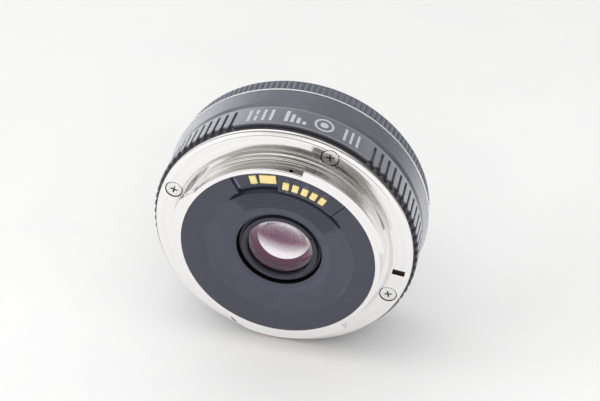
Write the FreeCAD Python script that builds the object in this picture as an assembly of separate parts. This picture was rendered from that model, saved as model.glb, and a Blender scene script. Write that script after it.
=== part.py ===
import FreeCAD, Part
import math
import os

# A slim 40 mm f/2.8 autofocus prime lens, seen as the assembly it really is.
# Millimetres.  +Y is the optical axis and points at the subject, +Z runs through the
# middle of the electrical contacts, +X runs through the bayonet's locking slot.
# The origin is the centre of the flange face that seats on the camera.
# Angles are in degrees about the optical axis, from +X towards +Z.

V = FreeCAD.Vector
AXIS = V(0, 1, 0)
FULL = 360.0

# ---- driving dimensions ---------------------------------------------------------------
GAP = 0.05            # clearance between pieces that are fixed to each other
RUN = 0.08            # radial clearance of a turning or sliding fit

REAR_END = -5.3       # end of the bayonet spigot
FRONT_END = 22.8      # front rim of the filter thread
BARREL_R = 33.3       # ribbed part of the outer barrel
TRIM_R = 34.1         # bright trim ring, the widest part

FLANGE_R = 32.4
FLANGE_BACK = 2.2
SPIGOT_R = 25.3
SPIGOT_BORE_R = 24.1
LUG_R = 26.9
LUG_FRONT = -3.2
LUGS = ((20.5, 84.0), (159.0, 215.0), (259.0, 319.0))
MOUNT_SCREW_R = 29.3
MOUNT_SCREW_ANGLES = (75, 165, 255, 345)
MOUNT_SCREW_HEAD_R = 2.0
LOCK_SLOT_R = (27.9, 31.0)
LOCK_SLOT_WIDTH = 1.6

INDEX_ANGLE = 270             # red bead for lining up with the camera
INDEX_Y = 1.9

OPENING_R = 10.7              # hole in the rear cover
OPENING_Y = -3.0
COVER_REAR_Y = -1.0           # how far the cover reaches into the lens
POCKET_R = 18.45              # crescent hollow beside the contacts: its round side,
POCKET_WIDTH = 1.15           # greatest width, floor, middle and half length
POCKET_FLOOR = -3.9
POCKET_ANGLE = 89.5
POCKET_HALF_ANGLE = 46.5

CONTACT_SPAN = (55.5, 125.5)  # from the last signal pad's end to the power pads' end
CONTACT_STEP = 97.0           # the block is lower from here on
CONTACT_R = (19.2, 20.2)      # inner face, and inner face of the lower shelf
SIGNAL_PAD = (2.2, 1.6)       # length and width
SIGNAL_PAD_R = 21.2
SIGNAL_ANGLES = (67.2, 73.4, 79.6, 85.8, 92.0)
POWER_PADS = ((103.8, 4.1), (113.2, 1.8))     # angle and width
POWER_PAD_LENGTH = 2.4
POWER_PAD_R = 21.9
SHELF_DROP = 0.8              # the power pads lie this far below the signal pads
PAD_ROOT_Y = -2.2
BLOCK_FRONT_Y = -1.6
SIDE_SCREW_ANGLE = 90.5       # screw through the spigot into the contact block
SIDE_SCREW_Y = -4.4

PLATE = (2.25, 3.0)           # chassis plate, rear and front face
CAM_TURN = 80.0               # cam ring travel in degrees
FOCUS_TRAVEL = 7.2            # forward travel of the lens unit
SLEEVE_R = (25.0, 26.0)
SLEEVE_SCREW_R = 29.6
SLEEVE_SCREW_ANGLES = (0, 120, 240)
SENSOR_ANGLE = 60.0           # reads the focus ring's comb
HOME_ANGLE = 200.0            # sees the lens unit at its rear stop
CAM_R = (26.08, 27.4)
CAM_Y = (3.3, 16.4)
ROLLER_ANGLES = (30, 150, 270)
ROLLER_R = 1.0
ROLLER_Y = 7.4

TOOTH_SHARE = 0.19            # half tooth thickness at the pitch circle, as a share of the pitch
ADDENDUM = 0.75               # tooth tip and root from the pitch circle, in modules
DEDENDUM = 1.1
GEAR_MODULE = 0.5
GEAR_TEETH = 10               # motor pinion and idler
CAM_TEETH = 102
PITCH_R = GEAR_MODULE * GEAR_TEETH / 2
IDLER_CENTRE_R = GEAR_MODULE * CAM_TEETH / 2 - PITCH_R
GEAR_Y = (3.35, 5.25)
IDLER_ANGLE = 262.0
MOTOR_CENTRE_R = 20.2
MOTOR_R = 3.2
POST_R = 20.4                 # posts that carry the motor bracket
POST_ANGLES = (232.0, 279.0)

BOARD = (-0.7, 0.0)           # circuit board, rear and front face
BOARD_SCREW_R = 21.8
BOARD_SCREW_ANGLES = (30, 180, 318)
FLEX_ANGLE = 232.0

BARREL_LIP_Y = 0.8            # where the barrel starts beside the flange
BARREL_DIVISIONS = 88
LABEL_ANGLE = 90.0
LABEL_HALF_ANGLE = 28.5
SWITCH_ANGLE = -32.0
SWITCH_HALF_ANGLE = 13.5
SWITCH_FLAT_R = 32.2
SWITCH_Y = 6.2
SWITCH_TRAVEL = 3.0

KNURL_COUNT = 144
RING_Y = (16.5, 21.1)
RING_BORE_R = 31.88

FILTER_R = 25.6               # M52 x 0.75, minor radius
FILTER_DEPTH = 2.0
SHELL_R = (23.7, 24.92)
FLOOR_Y = (17.6, 18.8)

CELL_SCREW_R = 13.4
CELL_SCREW_ANGLES = (10, 130, 250)

BLADES = 7
BLADE_R = (6.6, 11.3)
BLADE_SPAN = (-3.0, 95.0)
BLADE_PIVOT_R = 12.0
BLADE_THICK = 0.08
BLADE_STEP = 0.13
BLADE_Y = 9.12
BLADE_TURN = 28.0
DRIVE_PIN = (2.0, 1.0)        # from the pivot, radial and tangential
IRIS_TURN = 36.0
IRIS_MODULE = 0.4
IRIS_TEETH = 77
IRIS_PINION_TEETH = 9
IRIS_PINION_ANGLE = 130.0
IRIS_Y = (8.05, 8.85)
IRIS_PITCH_R = IRIS_MODULE * IRIS_TEETH / 2
IRIS_PINION_R = IRIS_PITCH_R + IRIS_MODULE * IRIS_PINION_TEETH / 2
IRIS_PIN_R = 0.4
IRIS_BEARING_R = 12.5

# vertex heights and radii of the six elements, in four groups
ELEMENTS = {
    "front_element": dict(front_y=20.6, front_r=51.5, rear_y=17.9, rear_r=55, edge_r=9.5),
    "second_element": dict(front_y=17.4, front_r=13.5, rear_y=14.41, rear_r=40, edge_r=8.4),
    "third_element": dict(front_y=14.39, front_r=40, rear_y=13.3, rear_r=9.5, edge_r=8.4, rear_clear=6.8),
    "fourth_element": dict(front_y=6.6, front_r=-11, rear_y=5.61, rear_r=28, edge_r=8.0, front_clear=6.6),
    "fifth_element": dict(front_y=5.59, front_r=28, rear_y=1.4, rear_r=-14, edge_r=8.0),
    "rear_element": dict(front_y=-0.7, front_r=-60, rear_y=-3.5, rear_r=-22.56, edge_r=9.0),
}


# ---- shape helpers --------------------------------------------------------------------
def polar(radius, angle, y=0.0):
    turn = math.radians(angle)
    return V(radius * math.cos(turn), y, radius * math.sin(turn))


def angle_between(a, b):
    return abs((a - b + FULL / 2) % FULL - FULL / 2)


def spin(shape, angle):
    """Turn a shape about the optical axis, +X towards +Z."""
    turned_shape = shape.copy()
    turned_shape.rotate(V(0, 0, 0), AXIS, -angle)
    return turned_shape


def disc(radius, y0, y1):
    return Part.makeCylinder(radius, y1 - y0, V(0, y0, 0), AXIS)


def tube(inner, outer, y0, y1):
    return disc(outer, y0, y1).cut(disc(inner, y0 - 1, y1 + 1))


def turned(points):
    """Revolve a closed outline of (radius, y) points about the optical axis."""
    corners = [V(r, y, 0) for r, y in points]
    face = Part.Face(Part.makePolygon(corners + corners[:1]))
    return face.revolve(V(0, 0, 0), AXIS, FULL)


def prism(points, y0, y1):
    """Extrude a closed outline of (x, z) points along the optical axis."""
    corners = [V(x, y0, z) for x, z in points]
    return Part.Face(Part.makePolygon(corners + corners[:1])).extrude(V(0, y1 - y0, 0))


def sector(inner, outer, y0, y1, start, end):
    middle = (start + end) / 2
    outer_arc = Part.Arc(polar(outer, start, y0), polar(outer, middle, y0), polar(outer, end, y0))
    inner_arc = Part.Arc(polar(inner, end, y0), polar(inner, middle, y0), polar(inner, start, y0))
    edges = [
        outer_arc.toShape(),
        Part.makeLine(polar(outer, end, y0), polar(inner, end, y0)),
        inner_arc.toShape(),
        Part.makeLine(polar(inner, start, y0), polar(outer, start, y0)),
    ]
    return Part.Face(Part.Wire(edges)).extrude(V(0, y1 - y0, 0))


def rod(radius, y0, y1, place_r, angle):
    """A rod parallel to the optical axis."""
    return Part.makeCylinder(radius, y1 - y0, polar(place_r, angle, y0), AXIS)


def spoke(radius, r0, r1, y, angle):
    """A rod that points away from the optical axis."""
    return Part.makeCylinder(radius, r1 - r0, polar(r0, angle, y), polar(1, angle))


def block(r0, r1, width, y0, y1, angle, shift=0.0):
    """A box whose sides are radial, tangential and axial."""
    box = Part.makeBox(r1 - r0, y1 - y0, width, V(r0, y0, shift - width / 2))
    return spin(box, angle)


def joined(shapes):
    return shapes[0].multiFuse(shapes[1:]).removeSplitter()


def save(name, shape):
    shape.exportStep(f"parts/{name}.step")


# ---- small hardware -------------------------------------------------------------------
def cross_recess(size, top_y, depth, place_r, angle, rear=True):
    """The two crossed slots of a Phillips head."""
    y0, y1 = (top_y - 0.1, top_y + depth) if rear else (top_y - depth, top_y + 0.1)
    wide = block(-size, size, size * 0.5, y0, y1, 0)
    tall = block(-size * 0.25, size * 0.25, size * 2, y0, y1, 0)
    cross = wide.fuse(tall)
    cross.translate(polar(place_r, angle))
    return cross


def countersunk_screw(place_r, angle, top_y, head_r, shank_r, length):
    head_depth = head_r - shank_r
    centre = polar(place_r, angle, top_y)
    head = Part.makeCone(head_r, shank_r, head_depth, centre, AXIS)
    shank = Part.makeCylinder(shank_r, length, centre, AXIS)
    return head.fuse(shank).cut(cross_recess(head_r * 0.55, top_y, 0.6, place_r, angle))


def pan_screw(place_r, angle, seat_y, head_r, head_height, shank_r, length, rear=True):
    """A flat-headed screw; its head is on the rear or the front of seat_y."""
    if rear:
        head = rod(head_r, seat_y - head_height, seat_y, place_r, angle)
        shank = rod(shank_r, seat_y, seat_y + length, place_r, angle)
        top = seat_y - head_height
    else:
        head = rod(head_r, seat_y, seat_y + head_height, place_r, angle)
        shank = rod(shank_r, seat_y - length, seat_y, place_r, angle)
        top = seat_y + head_height
    return head.fuse(shank).cut(cross_recess(head_r * 0.6, top, head_height * 0.5, place_r, angle, rear))


# ---- gear teeth -----------------------------------------------------------------------
def tooth_points(teeth, module, phase, outward=True):
    """Outline points of gear teeth; the tips point outward, or inward for a ring gear."""
    sign = 1 if outward else -1
    pitch_r = module * teeth / 2
    tip_r = pitch_r + sign * ADDENDUM * module
    root_r = pitch_r - sign * DEDENDUM * module
    pitch_angle = FULL / teeth
    slope = math.degrees(math.tan(math.radians(20)) * module / pitch_r)
    root_half = pitch_angle * TOOTH_SHARE + slope * DEDENDUM
    tip_half = pitch_angle * TOOTH_SHARE - slope * ADDENDUM
    points = []
    for index in range(teeth):
        centre = phase + index * pitch_angle
        flanks = ((root_r, -root_half), (tip_r, -tip_half), (tip_r, tip_half), (root_r, root_half))
        for radius, offset in flanks:
            corner = polar(radius, centre + offset)
            points.append((corner.x, corner.z))
    return points


def pinion(teeth, module, phase, y0, y1, bore_r):
    gear = prism(tooth_points(teeth, module, phase), y0, y1)
    return gear.cut(disc(bore_r, y0 - 1, y1 + 1)) if bore_r else gear


def moved(shape, place_r, angle):
    placed = shape.copy()
    placed.translate(polar(place_r, angle))
    return placed


def motor_angle():
    """The motor pinion meshes with the idler, on its own circle round the optical axis."""
    distance = 2 * PITCH_R
    cosine = IDLER_CENTRE_R ** 2 + MOTOR_CENTRE_R ** 2 - distance ** 2
    return IDLER_ANGLE - math.degrees(math.acos(cosine / (2 * IDLER_CENTRE_R * MOTOR_CENTRE_R)))


def pinion_phase():
    """Turn the motor pinion so that a gap meets the idler's nearest tooth."""
    line = polar(MOTOR_CENTRE_R, motor_angle()) - polar(IDLER_CENTRE_R, IDLER_ANGLE)
    bearing = math.degrees(math.atan2(line.z, line.x))
    offset = IDLER_ANGLE - bearing
    return bearing + 180 - offset + FULL / GEAR_TEETH / 2


# ---- bayonet mount --------------------------------------------------------------------
def mount_ring():
    bevel_r = 31.1
    groove_r = 27.6
    groove_y = 0.5
    ring = turned([
        (SPIGOT_BORE_R, REAR_END), (SPIGOT_R - 0.3, REAR_END), (SPIGOT_R, REAR_END + 0.3),
        (SPIGOT_R, groove_y), (groove_r, groove_y), (groove_r, 0), (bevel_r, 0),
        (FLANGE_R, 0.7), (FLANGE_R, FLANGE_BACK), (SPIGOT_BORE_R, FLANGE_BACK),
    ])
    lugs = [sector(SPIGOT_R - 0.5, LUG_R, REAR_END, LUG_FRONT, a0, a1) for a0, a1 in LUGS]
    ring = ring.multiFuse(lugs)
    cuts = []
    for angle in MOUNT_SCREW_ANGLES:
        seat = polar(MOUNT_SCREW_R, angle)
        cuts.append(rod(1.05, -1, FLANGE_BACK + 1, MOUNT_SCREW_R, angle))
        cuts.append(Part.makeCone(MOUNT_SCREW_HEAD_R + 0.25, 1.0, 1.25, seat, AXIS))
    slot_mid = sum(LOCK_SLOT_R) / 2
    slot_half = (LOCK_SLOT_R[1] - LOCK_SLOT_R[0] - LOCK_SLOT_WIDTH) / 2
    cuts.append(block(slot_mid - slot_half, slot_mid + slot_half, LOCK_SLOT_WIDTH, -1, FLANGE_BACK + 1, 0))
    for end in (-slot_half, slot_half):
        cuts.append(rod(LOCK_SLOT_WIDTH / 2, -1, FLANGE_BACK + 1, slot_mid + end, 0))
    cuts.append(spoke(0.5, SPIGOT_BORE_R - 1, SPIGOT_R + 1, SIDE_SCREW_Y, SIDE_SCREW_ANGLE))
    return ring.cut(cuts)


def mount_screws():
    screws = [
        countersunk_screw(MOUNT_SCREW_R, angle, 0.12, MOUNT_SCREW_HEAD_R, 0.95, 6.2)
        for angle in MOUNT_SCREW_ANGLES
    ]
    return Part.makeCompound(screws)


def crescent_pocket():
    """Hollow beside the contacts, between a circle about the axis and one set off from it."""
    outer = POCKET_R + POCKET_WIDTH
    tip = POCKET_R * math.cos(math.radians(POCKET_HALF_ANGLE))
    shift = (outer ** 2 - POCKET_R ** 2) / (2 * (outer - tip))
    hollow = rod(outer - shift, REAR_END - 1, POCKET_FLOOR, shift, POCKET_ANGLE)
    return hollow.cut(disc(POCKET_R, REAR_END - 2, POCKET_FLOOR + 1))


def rear_baffle():
    """Dished cover, with a short wall round its opening and one round its rim."""
    wall = 1.0
    outer = SPIGOT_BORE_R - GAP
    cover = turned([
        (outer, REAR_END), (19.0, REAR_END + 0.1), (18.7, -4.9), (13.2, -4.2), (12.9, -3.9),
        (OPENING_R, OPENING_Y), (OPENING_R, COVER_REAR_Y), (OPENING_R + wall, COVER_REAR_Y),
        (OPENING_R + wall, -2.6), (20.2, -3.2), (outer - wall, -4.2), (outer - wall, COVER_REAR_Y),
        (outer, COVER_REAR_Y),
    ])
    start, end = CONTACT_SPAN
    window = sector(CONTACT_R[0] - 0.2, SPIGOT_BORE_R + 1, REAR_END - 1, 0, start - 0.4, end + 0.4)
    return cover.cut([window, crescent_pocket()])


def contact_block():
    """Stepped insulator: high round the signal pads, lower round the power pads."""
    start, end = CONTACT_SPAN
    inner, shelf_inner = CONTACT_R
    outer = SPIGOT_BORE_R - GAP
    top_y = REAR_END + 0.1
    high = sector(inner, outer, top_y, BLOCK_FRONT_Y, start, CONTACT_STEP)
    low = sector(shelf_inner, outer, top_y + SHELF_DROP, BLOCK_FRONT_Y, CONTACT_STEP, end)
    sill = sector(inner, shelf_inner, REAR_END + 1.5, BLOCK_FRONT_Y, CONTACT_STEP, end)
    body = joined([high, low, sill])
    side_hole = spoke(0.45, SPIGOT_BORE_R - 2.2, SPIGOT_BORE_R + 1, SIDE_SCREW_Y, SIDE_SCREW_ANGLE)
    return body.cut(contact_bars(GAP) + [side_hole])


def contact_bars(margin=0.0):
    """The seven contacts, or the holes that hold them when given a margin."""

    def bar(length, width, top_y, middle_r, angle):
        half = length / 2 + margin
        return block(middle_r - half, middle_r + half, width + 2 * margin, top_y, PAD_ROOT_Y, angle)

    length, width = SIGNAL_PAD
    bars = [bar(length, width, REAR_END, SIGNAL_PAD_R, angle) for angle in SIGNAL_ANGLES]
    for angle, width in POWER_PADS:
        bars.append(bar(POWER_PAD_LENGTH, width, REAR_END + SHELF_DROP, POWER_PAD_R, angle))
    return bars


def contact_pins():
    return Part.makeCompound(contact_bars())


def contact_block_screw():
    head = spoke(0.45, SPIGOT_BORE_R + 0.2, SPIGOT_R - 0.2, SIDE_SCREW_Y, SIDE_SCREW_ANGLE)
    shank = spoke(0.3, SPIGOT_BORE_R - 1.5, SPIGOT_BORE_R + 0.2, SIDE_SCREW_Y, SIDE_SCREW_ANGLE)
    return head.fuse(shank)


# ---- barrel and what it carries -------------------------------------------------------
def switch_pocket(length, width, r0, r1):
    return block(r0, r1, length, SWITCH_Y - width / 2, SWITCH_Y + width / 2, SWITCH_ANGLE)


def outer_barrel():
    step_y = 8.9
    band_y = 10.5
    barrel = turned([
        (32.5, BARREL_LIP_Y), (BARREL_R, 1.9), (BARREL_R, step_y), (32.95, 9.4), (32.95, 9.9),
        (BARREL_R - 0.05, band_y), (33.95, 15.7), (32.9, 15.7), (32.9, 13.0), (31.4, 13.0),
        (31.4, 16.55), (28.0, 16.55),
        (28.0, 15.6), (30.2, 15.6), (30.2, 12.0), (31.5, 12.0), (31.5, 4.0), (28.2, 4.0), (28.2, 3.05),
        (32.45, 3.05), (32.45, BARREL_LIP_Y),
    ])
    bosses = [rod(1.7, 3.05, 7.2, MOUNT_SCREW_R + 0.3, angle) for angle in MOUNT_SCREW_ANGLES]
    panel = switch_pocket(13.0, 7.0, SWITCH_FLAT_R - 2.0, BARREL_R + 0.6)
    panel = panel.common(tube(31.6, BARREL_R + 0.3, 3.1, 12.0))
    barrel = barrel.multiFuse(bosses + [panel])
    cuts = [rod(0.95, 2, 6.6, MOUNT_SCREW_R, angle) for angle in MOUNT_SCREW_ANGLES]
    cuts += rib_grooves()
    cuts.append(switch_pocket(11.0, 5.0, SWITCH_FLAT_R - 0.45, TRIM_R))
    cuts.append(switch_pocket(5.4, 1.5, 30, TRIM_R))
    cuts += [rod(0.65, 15, 17, SLEEVE_SCREW_R, angle) for angle in SLEEVE_SCREW_ANGLES]
    cuts.append(spoke(0.8, 32.55, 34.0, INDEX_Y, INDEX_ANGLE))
    cuts.append(block(30.0, 31.6, 4.6, 13.0 - GAP, 17.0, SENSOR_ANGLE))
    return barrel.cut(cuts)


def rib_grooves():
    """Straight grooves leave ribs all round, except at the label and the switch."""
    pitch = FULL / BARREL_DIVISIONS
    grooves = []
    for index in range(BARREL_DIVISIONS):
        angle = LABEL_ANGLE + (index + 0.5) * pitch
        clear_of_label = angle_between(angle, LABEL_ANGLE) >= LABEL_HALF_ANGLE
        if clear_of_label and angle_between(angle, SWITCH_ANGLE) >= SWITCH_HALF_ANGLE:
            grooves.append(block(BARREL_R - 0.45, BARREL_R + 1, 0.8, 1.3, 8.2, angle))
    return grooves


def trim_ring():
    y0, y1 = 15.72, 16.3
    return turned([
        (32.95, y0), (TRIM_R - 0.15, y0), (TRIM_R, 15.9), (TRIM_R, 16.1), (TRIM_R - 0.2, y1), (32.95, y1),
    ])


def mount_index_dot():
    """A small domed bead pressed into the rim, for lining the lens up with the camera."""
    stem = spoke(0.75, 32.6, 33.2, INDEX_Y, INDEX_ANGLE)
    dome = Part.makeSphere(0.95, polar(32.75, INDEX_ANGLE, INDEX_Y))
    bead = dome.common(spoke(0.75, 33.0, 34.0, INDEX_Y, INDEX_ANGLE))
    return stem.fuse(bead)


def switch_plate():
    plate = switch_pocket(10.9, 4.9, SWITCH_FLAT_R - 0.4, SWITCH_FLAT_R)
    return plate.cut(switch_pocket(5.4, 1.5, 30, TRIM_R))


def switch_knob():
    """The focus mode slider at its lower stop, with three grip ridges."""
    rest = -SWITCH_TRAVEL / 2
    low = SWITCH_Y - 1.5
    high = SWITCH_Y + 1.5
    base = block(SWITCH_FLAT_R + 0.1, 33.3, 3.6, low, high, SWITCH_ANGLE, rest)
    ridges = [
        block(33.3, 33.65, 0.5, low + 0.2, high - 0.2, SWITCH_ANGLE, rest + step)
        for step in (-1.2, 0, 1.2)
    ]
    stem = block(30.9, SWITCH_FLAT_R + 0.1, 1.8, SWITCH_Y - 0.6, SWITCH_Y + 0.6, SWITCH_ANGLE, rest)
    return joined([base, stem] + ridges)


def switch_body():
    body = block(28.4, 30.7, 8.4, 4.4, 8.4, SWITCH_ANGLE)
    legs = [block(28.6, 30.4, 0.3, 4.05, 4.4, SWITCH_ANGLE, shift) for shift in (-2.5, 0, 2.5)]
    return joined([body] + legs)


def guide_sleeve():
    """Fixed sleeve; three straight slots keep the lens unit from turning."""
    inner, outer = SLEEVE_R
    sleeve = turned([
        (inner, 5.8), (outer, 5.8), (outer, 16.6), (31.3, 16.6), (31.3, 17.35), (inner, 17.35),
    ])
    slot_half = ROLLER_R + RUN
    cuts = []
    for angle in ROLLER_ANGLES:
        cuts.append(block(inner - 1, outer + 1, 2 * slot_half, ROLLER_Y, ROLLER_Y + FOCUS_TRAVEL, angle))
        cuts.append(spoke(slot_half, inner - 1, outer + 1, ROLLER_Y, angle))
        cuts.append(spoke(slot_half, inner - 1, outer + 1, ROLLER_Y + FOCUS_TRAVEL, angle))
    cuts += [rod(0.85, 16, 18, SLEEVE_SCREW_R, angle) for angle in SLEEVE_SCREW_ANGLES]
    cuts.append(block(30.0, 32.0, 4.6, 16, 18, SENSOR_ANGLE))
    return sleeve.cut(cuts)


def guide_sleeve_screws():
    screws = [
        pan_screw(SLEEVE_SCREW_R, angle, 17.4, 1.4, 0.7, 0.6, 2.2, rear=False)
        for angle in SLEEVE_SCREW_ANGLES
    ]
    return Part.makeCompound(screws)


def front_bezel():
    bezel = turned([
        (28.1, 22.1), (32.5, 22.1), (33.0, 21.7), (33.0, 21.3), (31.8, 21.3), (31.8, 17.45), (28.9, 17.45),
        (28.9, 21.3), (28.1, 21.3),
    ])
    return bezel.cut([rod(1.55, 17, 18.3, SLEEVE_SCREW_R, angle) for angle in SLEEVE_SCREW_ANGLES])


def felt_seal():
    return tube(27.78, 28.85, 19.8, 21.25)


def ring_sensor():
    """Slotted light gate that reads the comb on the focus ring."""
    body = block(30.35, 32.8, 4.0, 13.1, 15.4, SENSOR_ANGLE)
    return body.cut(tube(31.75, 32.55, 13.8, 17))


# ---- focus ring -----------------------------------------------------------------------
def focus_ring():
    y0, y1 = RING_Y
    tip_r = 33.6
    root_r = 33.25
    pitch = FULL / KNURL_COUNT
    outline = []
    for index in range(KNURL_COUNT):
        for radius, share in ((root_r, -0.30), (tip_r, -0.16), (tip_r, 0.16), (root_r, 0.30)):
            corner = polar(radius, (index + share) * pitch)
            outline.append((corner.x, corner.z))
    grip = prism(outline, y0 + 0.5, y1 - 0.5)
    rear_rim = turned([(0, y0), (33.3, y0), (33.6, y0 + 0.2), (33.6, y0 + 0.5), (0, y0 + 0.5)])
    front_rim = turned([(0, y1 - 0.5), (33.4, y1 - 0.5), (33.4, y1 - 0.2), (33.2, y1), (0, y1)])
    return joined([grip, rear_rim, front_rim]).cut(disc(RING_BORE_R, y0 - 1, y1 + 1))


def focus_comb():
    comb = tube(32.0, 32.35, 14.2, RING_Y[0])
    windows = [block(31.5, 33.0, 1.4, 14.6, 15.6, angle) for angle in range(0, 360, 6)]
    return comb.cut(windows)


# ---- focus drive ----------------------------------------------------------------------
def helical_slot(angle):
    """A slot that climbs FOCUS_TRAVEL while the cam ring turns CAM_TURN."""
    inner = CAM_R[0] - 0.6
    outer = CAM_R[1] + 0.6
    middle = (inner + outer) / 2
    slope = math.atan2(FOCUS_TRAVEL, math.radians(CAM_TURN) * middle)
    half = (ROLLER_R + RUN) / math.cos(slope)
    helix = Part.makeHelix(FOCUS_TRAVEL * FULL / CAM_TURN, FOCUS_TRAVEL, middle)
    corners = [V(inner, 0, -half), V(outer, 0, -half), V(outer, 0, half), V(inner, 0, half)]
    pipe = Part.BRepOffsetAPI.MakePipeShell(Part.Wire(helix.Edges))
    pipe.setBiNormalMode(V(0, 0, 1))
    pipe.add(Part.makePolygon(corners + corners[:1]))
    pipe.build()
    pipe.makeSolid()
    slot = pipe.shape()
    slot.rotate(V(0, 0, 0), V(1, 0, 0), -90)
    slot.translate(V(0, ROLLER_Y, 0))
    return spin(slot, angle)


def cam_ring():
    inner, outer = CAM_R
    y0, y1 = CAM_Y
    gear_end = GEAR_Y[1]
    phase = IDLER_ANGLE + FULL / CAM_TEETH / 2
    gear_space = prism(tooth_points(CAM_TEETH, GEAR_MODULE, phase, outward=False), y0 - 1, gear_end)
    ring = disc(outer, y0, y1).cut([gear_space, disc(inner, gear_end, y1 + 1)])
    cuts = []
    for angle in ROLLER_ANGLES:
        cuts.append(helical_slot(angle))
        for share in (0, 1):
            slot_y = ROLLER_Y + share * FOCUS_TRAVEL
            cuts.append(spoke(ROLLER_R + RUN, inner - 1, outer + 1, slot_y, angle - share * CAM_TURN))
    return ring.cut(cuts)


def idler_gear():
    gear = pinion(GEAR_TEETH, GEAR_MODULE, IDLER_ANGLE, *GEAR_Y, 0.6)
    return moved(gear, IDLER_CENTRE_R, IDLER_ANGLE)


def idler_pin():
    return rod(0.55, PLATE[1], 5.75, IDLER_CENTRE_R, IDLER_ANGLE)


def motor_pinion():
    """Brass pinion with the motor's own output shaft."""
    gear = pinion(GEAR_TEETH, GEAR_MODULE, pinion_phase(), *GEAR_Y, 0)
    shaft = disc(0.5, GEAR_Y[1], 6.3)
    return moved(gear.fuse(shaft), MOTOR_CENTRE_R, motor_angle())


def focus_motor():
    can = rod(MOTOR_R, 6.0, 13.6, MOTOR_CENTRE_R, motor_angle())
    end_cap = rod(MOTOR_R - 0.5, 13.6, 14.2, MOTOR_CENTRE_R, motor_angle())
    pins = [rod(0.25, 14.2, 14.9, MOTOR_CENTRE_R - 1.2, motor_angle() + side) for side in (-2.4, 2.4)]
    motor = joined([can, end_cap] + pins)
    return motor.cut(rod(0.5 + GAP, 5, 6.8, MOTOR_CENTRE_R, motor_angle()))


def motor_bracket():
    plate = sector(17.2, 24.4, 5.5, 6.0 - GAP, POST_ANGLES[0] - 5, POST_ANGLES[1] + 5)
    cuts = [rod(0.6, 5, 7, POST_R, angle) for angle in POST_ANGLES]
    cuts.append(rod(0.5 + GAP, 5, 7, MOTOR_CENTRE_R, motor_angle()))
    cuts.append(rod(0.55 + GAP, 5, 7, IDLER_CENTRE_R, IDLER_ANGLE))
    return plate.cut(cuts)


def chassis_plate():
    """Plate clamped between mount and barrel; it carries the motor and the circuit board."""
    y0, y1 = PLATE
    plate = tube(11.4, 32.3, y0, y1)
    posts = [rod(1.3, y1, 5.5 - GAP, POST_R, angle) for angle in POST_ANGLES]
    posts += [rod(1.3, BOARD[1] + GAP, y0, BOARD_SCREW_R, angle) for angle in BOARD_SCREW_ANGLES]
    plate = plate.multiFuse(posts)
    cuts = [rod(1.05, y0 - 1, y1 + 1, MOUNT_SCREW_R, angle) for angle in MOUNT_SCREW_ANGLES]
    cuts += [rod(0.55, 3.6, 6.0, POST_R, angle) for angle in POST_ANGLES]
    cuts += [rod(0.55, -1.0, 1.8, BOARD_SCREW_R, angle) for angle in BOARD_SCREW_ANGLES]
    cuts.append(block(17.6, 19.2, 4.0, y0 - 1, y1 + 1, FLEX_ANGLE))
    return plate.cut(cuts)


def main_board():
    y0, y1 = BOARD
    board = sector(13.2, 23.8, y0, y1, -65, 245)
    cuts = [rod(0.6, y0 - 1, y1 + 1, BOARD_SCREW_R, angle) for angle in BOARD_SCREW_ANGLES]
    return board.cut(cuts)


def small_screws():
    """Five like screws: three hold the circuit board and two the motor bracket."""
    screws = [pan_screw(BOARD_SCREW_R, angle, BOARD[0], 1.0, 0.5, 0.5, 2.2) for angle in BOARD_SCREW_ANGLES]
    screws += [pan_screw(POST_R, angle, 6.0, 1.0, 0.5, 0.5, 2.2, rear=False) for angle in POST_ANGLES]
    return Part.makeCompound(screws)


def board_components():
    """The lens controller, its memory, the motor driver, small capacitors and two sockets."""
    y0 = BOARD[1] + 0.02
    chips = [
        block(15.5, 21.5, 6.0, y0, y0 + 0.9, 150),
        block(16.5, 20.0, 3.0, y0, y0 + 0.8, 115),
        block(16.0, 21.0, 4.4, y0, y0 + 0.9, 205),
    ]
    for angle in range(60, 96, 9):
        chips.append(block(17.0, 18.6, 0.9, y0, y0 + 0.7, angle))
    sockets = [block(14.6, 16.2, 6.0, y0, y0 + 1.2, angle) for angle in (FLEX_ANGLE, 5.0)]
    return Part.makeCompound(chips + sockets)


def motor_flex():
    """Flat printed lead from the board's socket, through the plate, to the motor bracket."""
    y0 = BOARD[1] + 1.3
    flat = block(14.8, 18.5, 3.2, y0, y0 + 0.12, FLEX_ANGLE)
    rise = block(18.38, 18.5, 3.2, y0, 5.35, FLEX_ANGLE)
    return flat.fuse(rise).removeSplitter()


def contact_flex():
    """Printed lead under the contact block, folded to the board."""
    lead = block(17.6, 22.9, 9.0, -1.5, -1.38, 90)
    fold = block(17.6, 17.72, 9.0, -1.5, BOARD[0] - 0.02, 90)
    return lead.fuse(fold).removeSplitter()


def home_sensor():
    """Slotted light gate that sees the lens unit's tab at its rear stop."""
    body = block(22.5, 24.75, 3.4, PLATE[1] + 0.02, 5.9, HOME_ANGLE)
    return body.cut(block(23.45, 24.35, 4.0, 3.9, 7, HOME_ANGLE))


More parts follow.
